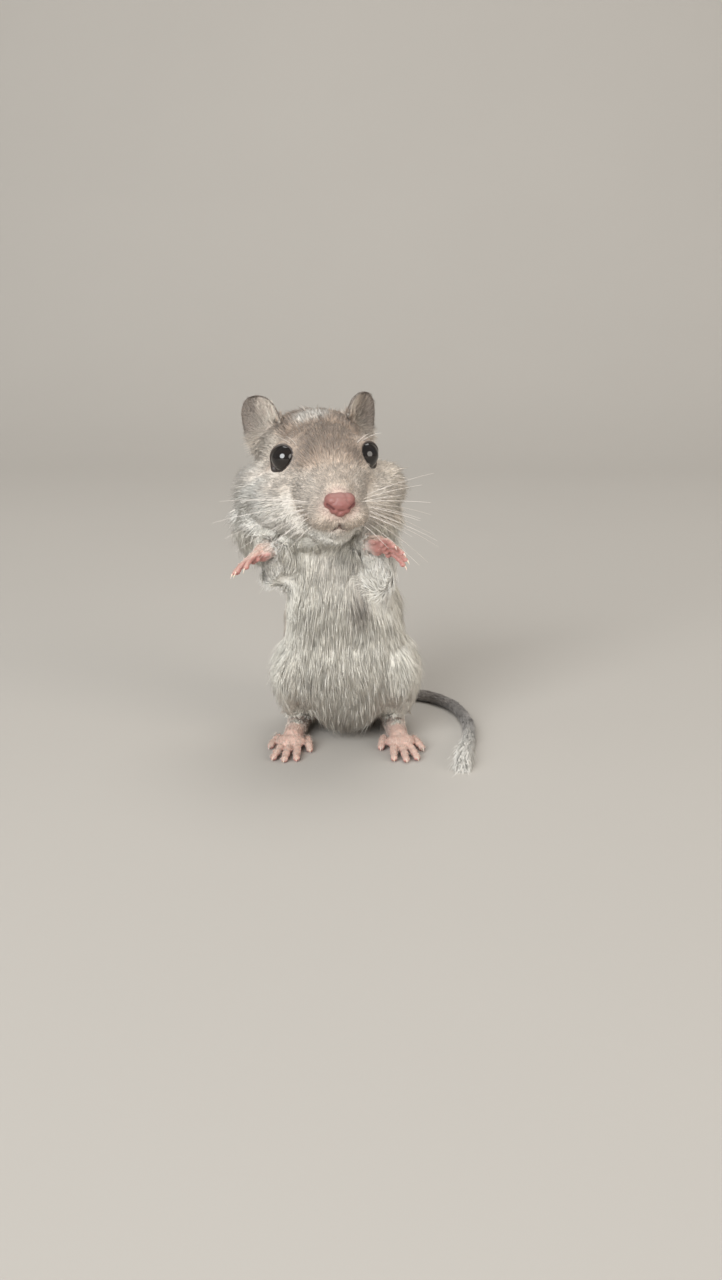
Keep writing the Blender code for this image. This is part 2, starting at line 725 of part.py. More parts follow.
def build():
    """Builds every node."""
    clear_scene()
    group = collection("gerbil")
    helpers = collection("cutters")
    helpers.hide_render = True
    coat = material("taupe_coat", TORSO_COLOUR, 0.85)
    pale = material("pale_coat", PALE_COLOUR, 0.85)
    skin = material("pink_skin", SKIN_COLOUR, 0.5)
    ear_skin = material("ear_skin", EAR_COLOUR, 0.7)
    tail_coat = material("tail_coat", TAIL_COLOUR, 0.8)
    eye = material("eye_black", EYE_COLOUR, 0.08)
    level = Matrix.Identity(4)

    floor = slab("floor", helpers, Vector((0, 0, 0)), 0.0, -20 * MM, FLOOR)
    flesh = make_flesh(helpers)

    form = bmesh.new()
    add_head(form, GAP)
    skull = new_object("skull_margin", form, helpers)
    melt(skull, 0.5 * MM, 8)
    facet(skull, 3000)

    head, nose, eyes = make_head_parts(flesh, group, helpers)
    ears = [make_ear("ear_right", -1, skull, group), make_ear("ear_left", 1, skull, group)]

    limbs = []
    paws = []
    for side, word in ((-1, "right"), (1, "left")):
        def arm_forms(form, grow, side=side):
            add_limb(form, level, arm_points(side), [radius * 1.12 for radius in ARM_RADII], grow)

        def haunch_forms(form, grow, side=side):
            add_forms(form, haunch_place(), HAUNCH, side, grow + 0.5 * MM)

        paw = make_forepaw("forepaw_" + word, side, group)
        foot = make_hind_foot("hind_foot_" + word, side, group)
        arm = part_off(flesh, "foreleg_" + word, arm_forms, group, helpers)
        wrist = duplicate(paw, "wrist_margin", helpers)
        margin = wrist.modifiers.new("Margin", "DISPLACE")
        margin.mid_level = 0.0
        margin.strength = GAP
        settle(wrist)
        combine(arm, wrist, "DIFFERENCE")

        form = bmesh.new()
        add_limb(form, foot_place(side), sole_points(), FOOT_SOLE_RADII, GAP * 1.1)
        sole = new_object("sole_margin", form, helpers)
        melt(sole, 0.4 * MM, 1)
        facet(sole, 500)
        combine(flesh, sole, "DIFFERENCE")
        leg = part_off(flesh, "hind_leg_" + word, haunch_forms, group, helpers)
        combine(foot, floor, "DIFFERENCE")
        limbs += [arm, leg]
        paws += [paw, foot]

    points, radii, _ = tail_line()
    form = bmesh.new()
    add_limb(form, level, points[:4], radii[:4], GAP * 1.1)
    root = new_object("tail_margin", form, helpers)
    melt(root, 0.4 * MM, 1)
    facet(root, 500)
    combine(flesh, root, "DIFFERENCE")
    tail = make_tail(group, helpers, floor)

    crown = Vector((-4.0, 0.0, 35.2)) * MM
    lean = math.radians(10.0)
    neck = duplicate(flesh, "neck", group)
    combine(neck, slab("above_torso", helpers, crown, lean, GAP / 2, 60 * MM), "INTERSECT")
    combine(flesh, slab("below_neck", helpers, crown, lean, -GAP / 2, 60 * MM), "DIFFERENCE")
    torso = duplicate(flesh, "torso", group)

    for node in (head, neck, torso, *limbs):
        finish(node, coat if node in (head, neck) else pale)
    for node in (nose, *paws):
        finish(node, skin)
    for node in ears:
        finish(node, ear_skin)
    for node in eyes:
        finish(node, eye)
    for node in tail:
        finish(node, tail_coat)
    for helper in list(helpers.objects):
        bpy.data.objects.remove(helper)
    stand_in_middle(group)


build()
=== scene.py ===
"""A gerbil sitting up on its hind feet, life size, dressed with skin, coat, eyes, nose and claws.

Shapes are worked out in millimetres, in the source's own coordinates: it looks along -Y, its left
side is +X and the floor is Z = 0. Each finished piece is moved into the frame, in metres.
"""

import logging
import math
from dataclasses import dataclass, field
from enum import Enum
from typing import Any, Iterable, Sequence

import bmesh
import bpy
import numpy as np
from mathutils import Matrix, Vector, bvhtree, kdtree

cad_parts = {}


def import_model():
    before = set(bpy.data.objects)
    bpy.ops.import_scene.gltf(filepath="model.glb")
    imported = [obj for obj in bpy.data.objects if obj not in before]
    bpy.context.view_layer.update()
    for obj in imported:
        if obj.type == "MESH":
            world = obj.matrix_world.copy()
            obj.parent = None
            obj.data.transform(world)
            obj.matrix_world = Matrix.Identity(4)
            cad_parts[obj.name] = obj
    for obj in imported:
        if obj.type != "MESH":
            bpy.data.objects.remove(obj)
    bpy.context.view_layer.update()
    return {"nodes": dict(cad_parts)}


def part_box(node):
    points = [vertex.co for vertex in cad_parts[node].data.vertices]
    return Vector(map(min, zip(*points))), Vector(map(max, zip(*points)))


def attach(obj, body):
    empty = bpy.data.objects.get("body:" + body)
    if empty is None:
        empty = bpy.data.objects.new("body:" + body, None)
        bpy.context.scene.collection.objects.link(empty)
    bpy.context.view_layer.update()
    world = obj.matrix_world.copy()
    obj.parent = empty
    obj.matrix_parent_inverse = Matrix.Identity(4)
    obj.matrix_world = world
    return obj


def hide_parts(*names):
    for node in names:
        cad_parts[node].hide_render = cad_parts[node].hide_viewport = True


MM = 0.001
TONE = "coat_tone"          # the colour attribute that skin and coat share
BAKE_MAP = "OFBake"
PATCH = 0.003               # the width of a tuft's patch on that map
FLOOR_GAP = 0.03            # millimetres that skin and claws stay above the floor
HAIR_GAP = 0.12             # and hair
SKIN_MOST = 190_000         # triangles that the skin is thinned to
NOSE = (0, -19.0, -1.6)     # the middle of the nose, in the head's coordinates
log = logging.getLogger("gerbil")


class Side(Enum):
    """The gerbil's own sides."""

    RIGHT = -1
    LEFT = 1


class CoatPart(Enum):
    """The stretches of coat, each a piece of its own."""

    FACE = "face"
    CROWN = "crown"
    CHEEK_RIGHT = "cheek_right"
    CHEEK_LEFT = "cheek_left"
    THROAT = "throat"
    BELLY = "belly"
    BACK = "back"
    FORELEGS = "forelegs"
    HAUNCHES = "haunches"
    FEET = "feet"
    EARS = "ears"
    TAIL = "tail"


@dataclass(frozen=True)
class Stretch:
    """How many tufts a stretch of coat has, how far they bend together, and the name of its slot, which is
    not used.
    """

    tufts: int
    clump: float
    slot: str = "pale_coat"


STRETCHES = {
    CoatPart.FACE: Stretch(19500, 0.34, "taupe_coat"),
    CoatPart.CROWN: Stretch(14000, 0.42, "taupe_coat"),
    CoatPart.CHEEK_RIGHT: Stretch(14000, 0.20),
    CoatPart.CHEEK_LEFT: Stretch(14000, 0.20),
    CoatPart.THROAT: Stretch(10000, 0.42),
    CoatPart.BELLY: Stretch(18500, 0.36),
    CoatPart.BACK: Stretch(14000, 0.36, "taupe_coat"),
    CoatPart.FORELEGS: Stretch(7500, 0.34),
    CoatPart.HAUNCHES: Stretch(13000, 0.34),
    CoatPart.FEET: Stretch(10000, 0.20, "pink_skin"),
    CoatPart.EARS: Stretch(6500, 0.15, "ear_skin"),
    CoatPart.TAIL: Stretch(9000, 0.20, "tail_coat"),
}
FLESH = (
    "head", "neck", "torso", "nose", "foreleg_left", "foreleg_right", "hind_leg_left", "hind_leg_right",
    "forepaw_left", "forepaw_right", "hind_foot_left", "hind_foot_right", "ear_left", "ear_right",
    "tail_base", "tail_middle", "tail_tip",
)


def linear(red: float, green: float, blue: float) -> np.ndarray:
    """A display colour of 0 to 255 as linear light."""
    share = np.array((red, green, blue)) / 255.0
    return np.where(share <= 0.04045, share / 12.92, ((share + 0.055) / 1.055) ** 2.4)


def ease(value: Any, low: float, high: float) -> Any:
    """0 below low, 1 above high and smooth between; low may be the larger."""
    share = np.clip((value - low) / (high - low), 0.0, 1.0)
    return share * share * (3.0 - 2.0 * share)


def unit(vectors: np.ndarray) -> np.ndarray:
    """Rows made one long."""
    return vectors / np.maximum(np.linalg.norm(vectors, axis=-1, keepdims=True), 1e-9)


def gap(points: np.ndarray, spot: Sequence[float], radii: Any = 1.0) -> np.ndarray:
    """How far points are from a spot, as a share of radii where they are given."""
    return np.linalg.norm((points - spot) / radii, axis=1)


def flat(colour: Sequence[float], count: int) -> np.ndarray:
    """Rows of one display colour, as linear light."""
    return np.tile(linear(*colour), (count, 1))


def washed(tones: np.ndarray, colour: Sequence[float], share: Any) -> np.ndarray:
    """Rows of linear colour moved towards a display colour by a share."""
    share = np.asarray(share)[:, None]
    return tones * (1 - share) + linear(*colour) * share


def ripple(points: np.ndarray, scale: float, seed: int) -> np.ndarray:
    """Smooth waves from about -1 to 1 whose size is about scale millimetres.

    Args:
        points: Rows of x, y, z in millimetres.
        scale: The width of a wave.
        seed: Picks one of many patterns.

    Returns:
        One number a point.
    """
    rng = np.random.default_rng(seed)
    total = np.zeros(len(points))
    for _ in range(7):
        wave = unit(rng.normal(size=3)) * 2.0 * math.pi / (scale * rng.uniform(0.7, 1.9))
        total += np.sin(points @ wave + rng.uniform(0, 2 * math.pi))
    return total / 3.2


# Materials


class Wire:
    """One socket of a material, on which sums are written as Python."""

    def __init__(self, tree: bpy.types.NodeTree, socket: bpy.types.NodeSocket) -> None:
        """Wraps a socket of a tree."""
        self.tree = tree
        self.socket = socket

    def _sum(self, operation: str, first: Any, second: Any) -> "Wire":
        """A Math node over two wires or numbers."""
        node = self.tree.nodes.new("ShaderNodeMath")
        node.operation = operation
        for spot, value in zip(node.inputs, (first, second)):
            if isinstance(value, Wire):
                self.tree.links.new(value.socket, spot)
            else:
                spot.default_value = value
        return Wire(self.tree, node.outputs[0])

    def __add__(self, other: Any) -> "Wire":
        """Sum."""
        return self._sum("ADD", self, other)

    def __mul__(self, other: Any) -> "Wire":
        """Product."""
        return self._sum("MULTIPLY", self, other)


class Palette:
    """A new material and the one way that nodes are added to it."""

    def __init__(self, name: str, **constants: Any) -> None:
        """Makes the material.

        Args:
            name: The material's name.
            constants: Values of the shader's own sockets, with spaces as underscores.
        """
        self.material = bpy.data.materials.new(name)
        self.material.use_nodes = True
        self.tree = self.material.node_tree
        self.shader = self.tree.nodes["Principled BSDF"]
        for label, value in constants.items():
            self.shader.inputs[label.replace("_", " ")].default_value = value

    def node(self, kind: str, settings: dict[str, Any], inputs: dict[Any, Any], output: Any = 0) -> Wire:
        """Adds a node.

        Args:
            kind: The node's type, without its ShaderNode prefix.
            settings: Properties set first; stops gives a ramp's positions and colours.
            inputs: Values or wires by socket name or number.
            output: The socket to return.

        Returns:
            That output as a wire.
        """
        made = self.tree.nodes.new("ShaderNode" + kind)
        for label, value in settings.items():
            if label == "stops":
                ramp = made.color_ramp
                while len(ramp.elements) < len(value):
                    ramp.elements.new(0.5)
                for element, (place, colour) in zip(ramp.elements, value):
                    element.position = place
                    element.color = (*colour, 1.0)
            else:
                setattr(made, label, value)
        for label, value in inputs.items():
            if isinstance(value, Wire):
                self.tree.links.new(value.socket, made.inputs[label])
            else:
                made.inputs[label].default_value = value
        return Wire(self.tree, made.outputs[output])

    def place(self) -> Wire:
        """Object coordinates, in metres."""
        return self.node("TexCoord", {}, {}, "Object")

    def noise(self, size: float, detail: float = 3.0, stretch: Sequence[float] = (1, 1, 1)) -> Wire:
        """Noise whose lumps are about size metres wide."""
        spot = self.node("Mapping", {}, {"Vector": self.place(), "Scale": tuple(stretch)})
        return self.node("TexNoise", {}, {"Vector": spot, "Scale": 1.0 / size, "Detail": detail})

    def tone(self) -> Wire:
        """The colour attribute of the piece."""
        return self.node("VertexColor", {"layer_name": TONE}, {})

    def tinted(self, colour: Wire, amount: Wire, dark: float, light: float) -> Wire:
        """A colour made darker and lighter by a 0 to 1 wire."""
        gain = amount * (light - dark) + dark
        return self.node(
            "Mix", {"data_type": "RGBA", "blend_type": "MULTIPLY"}, {0: 1.0, 6: colour, 7: gain}, 2
        )

    def ramp(self, size: float, *stops: tuple[float, Sequence[float]]) -> Wire:
        """Noise of a size in metres, coloured by stops of a place and a colour."""
        return self.node("ValToRGB", {"stops": stops}, {"Fac": self.noise(size)})

    def bump(self, height: Wire, strength: float, depth: float) -> None:
        """Feeds Normal with a height in metres of depth."""
        made = self.node("Bump", {}, {"Strength": strength, "Distance": depth, "Height": height})
        self.tree.links.new(made.socket, self.shader.inputs["Normal"])

    def feed(self, socket: str, wire: Wire) -> None:
        """Joins a wire to a socket of the shader."""
        self.tree.links.new(wire.socket, self.shader.inputs[socket])


@dataclass(frozen=True)
class CoatFinish:
    """Fine soft hair: matt, with a faint sheen and a little change from place to place."""

    roughness: float = 0.62
    sheen: float = 0.18
    mottle: float = 0.0011      # metres across a patch

    def made(self, name: str) -> bpy.types.Material:
        """The material."""
        palette = Palette(name, Roughness=self.roughness, Sheen_Weight=self.sheen, Specular_IOR_Level=0.28)
        palette.feed("Base Color", palette.tinted(palette.tone(), palette.noise(self.mottle), 0.86, 1.14))
        return palette.material


@dataclass(frozen=True)
class HideFinish:
    """The skin under the coat, with the coat's short hair as bump."""

    roughness: float = 0.66
    grain: float = 0.00035

    def made(self, name: str) -> bpy.types.Material:
        """The material."""
        palette = Palette(name, Roughness=self.roughness, Specular_IOR_Level=0.25)
        strands = palette.noise(self.grain, 4.0, (1.0, 1.0, 0.35))
        palette.feed("Base Color", palette.tinted(palette.tone(), strands, 0.72, 1.18))
        palette.bump(strands, 0.55, 0.00025)
        return palette.material


@dataclass(frozen=True)
class PinkFinish:
    """Bare pink skin of paws, feet and nose: creased, soft and a little moist."""

    roughness: float = 0.46
    crease: float = 0.0005
    coat: float = 0.12

    def made(self, name: str) -> bpy.types.Material:
        """The material."""
        palette = Palette(
            name, Subsurface_Weight=0.12, Subsurface_Scale=0.0006, Subsurface_Radius=(1.0, 0.36, 0.28),
            Specular_IOR_Level=0.42, Coat_Weight=self.coat, Coat_Roughness=0.35,
        )
        cells = palette.node(
            "TexVoronoi", {"feature": "DISTANCE_TO_EDGE"},
            {"Vector": palette.place(), "Scale": 1.0 / self.crease},
        )
        blotch = palette.noise(0.0016)
        palette.feed("Base Color", palette.tinted(palette.tone(), blotch, 0.84, 1.16))
        palette.feed("Roughness", blotch * 0.16 + (self.roughness - 0.08))
        palette.bump(cells + palette.noise(0.00022) * 0.5, 0.35, 0.00012)
        return palette.material


@dataclass(frozen=True)
class EyeFinish:
    """A wet, nearly black eye with a dark brown iris that shows only in strong light."""

    def made(self, name: str) -> bpy.types.Material:
        """The material."""
        palette = Palette(
            name, Roughness=0.07, Specular_IOR_Level=0.5, Coat_Weight=0.35, Coat_Roughness=0.02,
        )
        brown = palette.ramp(0.0009, (0.35, (0.004, 0.003, 0.003)), (0.8, (0.012, 0.007, 0.005)))
        palette.feed("Base Color", brown)
        return palette.material


@dataclass(frozen=True)
class HornFinish:
    """Pale translucent claws, pinker at their roots."""

    def made(self, name: str) -> bpy.types.Material:
        """The material."""
        palette = Palette(
            name, Roughness=0.32, Specular_IOR_Level=0.5, Subsurface_Weight=0.3, Subsurface_Scale=0.0005,
        )
        grain = palette.noise(0.0002, 2.0, (1.0, 0.25, 1.0))
        palette.feed("Base Color", palette.tinted(palette.tone(), grain, 0.85, 1.1))
        palette.bump(grain, 0.2, 0.00004)
        return palette.material


@dataclass(frozen=True)
class WhiskerFinish:
    """Stiff pale hair with a gloss."""

    colour: tuple[float, float, float] = (0.80, 0.74, 0.68)

    def made(self, name: str) -> bpy.types.Material:
        """The material."""
        palette = Palette(name, Roughness=0.3, Specular_IOR_Level=0.5)
        dark = tuple(part * 0.82 for part in self.colour)
        palette.feed("Base Color", palette.ramp(0.0018, (0.3, dark), (0.75, self.colour)))
        return palette.material


@dataclass(frozen=True)
class BackdropFinish:
    """Plain pale paper."""

    colour: tuple[float, float, float] = (0.475, 0.45, 0.415)

    def made(self, name: str) -> bpy.types.Material:
        """The material."""
        palette = Palette(name, Roughness=0.9, Specular_IOR_Level=0.1)
        dark = tuple(part * 0.985 for part in self.colour)
        palette.feed("Base Color", palette.ramp(0.09, (0.3, dark), (0.7, self.colour)))
        return palette.material


# Shapes


def placed(name: str, data: Any) -> bpy.types.Object:
    """A new object in the scene with this data."""
    made = bpy.data.objects.new(name, data)
    bpy.context.scene.collection.objects.link(made)
    return made


def evaluated(piece: bpy.types.Object) -> bpy.types.Mesh:
    """A plain mesh of a piece as its modifiers leave it."""
    graph = bpy.context.evaluated_depsgraph_get()
    return bpy.data.meshes.new_from_object(piece.evaluated_get(graph))


@dataclass
class Surface:
    """A closed surface of triangles, in millimetres."""

    points: np.ndarray
    faces: np.ndarray

    @classmethod
    def of_mesh(cls, mesh: bpy.types.Mesh) -> "Surface":
        """The triangles of a Blender mesh."""
        mesh.calc_loop_triangles()
        points = np.empty(len(mesh.vertices) * 3, np.float32)
        mesh.vertices.foreach_get("co", points)
        faces = np.empty(len(mesh.loop_triangles) * 3, np.int32)
        mesh.loop_triangles.foreach_get("vertices", faces)
        return cls(points.reshape(-1, 3).astype(float), faces.reshape(-1, 3))

    def mesh(self, name: str, scale: float = 1.0, shift: Sequence[float] = (0, 0, 0)) -> bpy.types.Mesh:
        """A Blender mesh of this surface, moved and then scaled."""
        made = bpy.data.meshes.new(name)
        made.vertices.add(len(self.points))
        made.vertices.foreach_set("co", ((self.points + shift) * scale).astype(np.float32).ravel())
        made.loops.add(len(self.faces) * 3)
        made.loops.foreach_set("vertex_index", self.faces.astype(np.int32).ravel())
        made.polygons.add(len(self.faces))
        made.polygons.foreach_set("loop_start", np.arange(0, len(self.faces) * 3, 3, dtype=np.int32))
        made.update(calc_edges=True)
        made.shade_smooth()
        return made

    def edges(self) -> np.ndarray:
        """Each edge once, as pairs of points."""
        pairs = np.concatenate([self.faces[:, [0, 1]], self.faces[:, [1, 2]], self.faces[:, [2, 0]]])
        return np.unique(np.sort(pairs, axis=1), axis=0)

    def normals(self) -> np.ndarray:
        """A unit normal at each point, by area."""
        corners = self.points[self.faces]
        face = np.cross(corners[:, 1] - corners[:, 0], corners[:, 2] - corners[:, 0])
        total = np.zeros_like(self.points)
        for corner in range(3):
            for axis in range(3):
                total[:, axis] += np.bincount(self.faces[:, corner], face[:, axis], len(self.points))
        return unit(total)

    def spread(self, values: np.ndarray, rounds: int, share: float = 0.5) -> np.ndarray:
        """Values at the points, evened out along the edges.

        Args:
            values: One row or number a point.
            rounds: How often each point moves towards its neighbours.
            share: How far it moves each time.

        Returns:
            The smoothed values.
        """
        edges = self.edges()
        ends = np.concatenate([edges, edges[:, ::-1]])
        count = np.maximum(np.bincount(ends[:, 0], minlength=len(self.points)), 1)
        result = values.reshape(len(self.points), -1).astype(float).copy()
        for _ in range(rounds):
            for column in range(result.shape[1]):
                near = np.bincount(ends[:, 0], result[ends[:, 1], column], len(self.points)) / count
                result[:, column] += (near - result[:, column]) * share
        return result.reshape(values.shape)

    def smoothed(self, rounds: int) -> "Surface":
        """A copy with its facets evened out, hardly any smaller."""
        soft = Surface(self.points, self.faces)
        for _ in range(rounds):
            for share in (0.55, -0.57):
                soft.points = soft.spread(soft.points, 1, share)
        return soft

    def outward(self) -> "Surface":
        """The same surface with its faces turned outwards."""
        corners = self.points[self.faces]
        volume = np.einsum("ij,ij->i", corners[:, 0], np.cross(corners[:, 1], corners[:, 2])).sum()
        return self if volume > 0 else Surface(self.points, self.faces[:, ::-1])

    def moved(self, place: Matrix) -> "Surface":
        """A copy moved by a matrix."""
        return Surface(carried(place, self.points), self.faces)

    def joined(self, *others: "Surface") -> "Surface":
        """This surface and others as one, with no union."""
        points, faces, count = [], [], 0
        for part in (self, *others):
            points.append(part.points)
            faces.append(part.faces + count)
            count += len(part.points)
        return Surface(np.concatenate(points), np.concatenate(faces))

    def melted(self, voxel: float) -> "Surface":
        """One closed skin round everything, from a voxel remesh; only its largest body is kept."""
        mesh = self.mesh("clay")
        clay = placed("clay", mesh)
        change = clay.modifiers.new("melt", "REMESH")
        change.mode = "VOXEL"
        change.voxel_size = voxel
        result = evaluated(clay)
        bpy.data.objects.remove(clay)
        bpy.data.meshes.remove(mesh)
        found = Surface.of_mesh(result).largest()
        bpy.data.meshes.remove(result)
        return found

    def largest(self) -> "Surface":
        """The largest of the separate bodies."""
        label = np.arange(len(self.points))
        edges = self.edges()
        while True:
            low = np.minimum(label[edges[:, 0]], label[edges[:, 1]])
            before = label.copy()
            np.minimum.at(label, edges[:, 0], low)
            np.minimum.at(label, edges[:, 1], low)
            label = label[label]
            if (label == before).all():
                break
        name, count = np.unique(label[self.faces[:, 0]], return_counts=True)
        keep = self.faces[label[self.faces[:, 0]] == name[count.argmax()]]
        used, index = np.unique(keep, return_inverse=True)
        return Surface(self.points[used], index.reshape(-1, 3))

    def cut_or_joined(self, other: "Surface", operation: str) -> "Surface":
        """This surface joined with another, or with it cut away.

        Args:
            other: The other closed surface.
            operation: UNION or DIFFERENCE.

        Returns:
            The result, or for a union that fails both surfaces as they are.
        """
        pieces = [placed("form", part.mesh("form")) for part in (self, other)]
        change = pieces[0].modifiers.new("join", "BOOLEAN")
        change.operation = operation
        change.solver = "MANIFOLD"
        change.object = pieces[1]
        found = Surface.of_mesh(evaluated(pieces[0]))
        for obj in pieces:
            bpy.data.objects.remove(obj)
        if len(found.faces) < 0.5 * len(self.faces) or len(found.points) == len(self.points):
            log.warning("a %s was left out", operation.lower())
            return self.joined(other) if operation == "UNION" else self
        return found


def ball_surface(fine: int) -> Surface:
    """A round ball of radius 1."""
    form = bmesh.new()
    bmesh.ops.create_icosphere(form, subdivisions=fine, radius=1.0)
    mesh = bpy.data.meshes.new("ball")
    form.to_mesh(mesh)
    form.free()
    return Surface.of_mesh(mesh)


class Clay:
    """Balls laid close together, to be melted into one smooth shape."""

    def __init__(self) -> None:
        """Starts empty."""
        self.round = ball_surface(2)
        self.parts: list[Surface] = []

    def ball(self, place: Matrix, centre: Sequence[float], radii: Any) -> None:
        """Adds an ellipsoid.

        Args:
            place: Where the shape's own coordinates lie.
            centre: The middle, in those coordinates.
            radii: One radius or three.
        """
        local = self.round.points * np.broadcast_to(np.array(radii, float), 3) + np.array(centre)
        self.parts.append(Surface(carried(place, local), self.round.faces))

    def chain(self, place: Matrix, route: Sequence[Sequence[float]], radii: Sequence[float]) -> None:
        """Adds balls all along a route whose radius changes from point to point."""
        for start, stop, first, last in zip(route, route[1:], radii, radii[1:]):
            start, stop = np.array(start, float), np.array(stop, float)
            count = max(2, math.ceil(np.linalg.norm(stop - start) / (0.32 * min(first, last))))
            for step in range(count + 1):
                share = step / count
                self.ball(place, start + (stop - start) * share, first + (last - first) * share)

    def melted(self, voxel: float, rounds: int) -> Surface:
        """The balls as one smooth closed surface."""
        return self.parts[0].joined(*self.parts[1:]).melted(voxel).smoothed(rounds)


def carried(place: Matrix, points: np.ndarray) -> np.ndarray:
    """Points moved by a matrix."""
    matrix = np.array(place)
    return np.atleast_2d(points) @ matrix[:3, :3].T + matrix[:3, 3]


def loft(rings: Sequence[np.ndarray]) -> Surface:
    """A closed surface through rings of equal count, with its ends closed."""
    sides = len(rings[0])
    points = [np.asarray(row, float) for row in rings]
    points += [rings[0].mean(0)[None], rings[-1].mean(0)[None]]
    faces = []
    for row in range(len(rings) - 1):
        low, high = row * sides, (row + 1) * sides
        for side in range(sides):
            after = (side + 1) % sides
            faces += [(low + side, low + after, high + after), (low + side, high + after, high + side)]
    first, last, end = len(rings) * sides, len(rings) * sides + 1, (len(rings) - 1) * sides
    for side in range(sides):
        after = (side + 1) % sides
        faces += [(first, after, side), (last, end + side, end + after)]
    return Surface(np.concatenate(points), np.array(faces)).outward()


def ring(
    middle: np.ndarray, across: np.ndarray, up: np.ndarray, sides: int, size: float, width: float = 1.0,
) -> np.ndarray:
    """Points of an ellipse.

    Args:
        middle: Its middle.
        across: The way that it starts.
        up: The way that it turns to.
        sides: How many points it has.
        size: Its radius upwards.
        width: Its radius across, as a share of that.

    Returns:
        The points in order.
    """
    turn = np.linspace(0, 2 * np.pi, sides, endpoint=False)
    return middle + np.outer(np.cos(turn), across) * size * width + np.outer(np.sin(turn), up) * size


def pointing(angle: Any, turn: np.ndarray) -> np.ndarray:
    """Rows one long at an angle from Z, for each turn round it, both in radians."""
    out = np.sin(angle)
    return np.stack([out * np.cos(turn), out * np.sin(turn), np.cos(angle) + 0 * turn], axis=1)


def smooth_route(route: Sequence[Sequence[float]], count: int) -> np.ndarray:
    """Evenly spaced points on a smooth curve through a route."""
    stops = np.array(route, float)
    ends = np.concatenate([[2 * stops[0] - stops[1]], stops, [2 * stops[-1] - stops[-2]]])
    dense = []
    for a, b, c, d in zip(ends, ends[1:], ends[2:], ends[3:]):
        for t in np.linspace(0, 1, 24, endpoint=False):
            dense.append(0.5 * (2 * b + (c - a) * t + (2 * a - 5 * b + 4 * c - d) * t * t
                                + (3 * b - a - 3 * c + d) * t ** 3))
    line = np.array(dense + [stops[-1]])
    length = np.concatenate([[0], np.cumsum(np.linalg.norm(np.diff(line, axis=0), axis=1))])
    wanted = np.linspace(0, length[-1], count)
    return np.stack([np.interp(wanted, length, line[:, axis]) for axis in range(3)], axis=1)


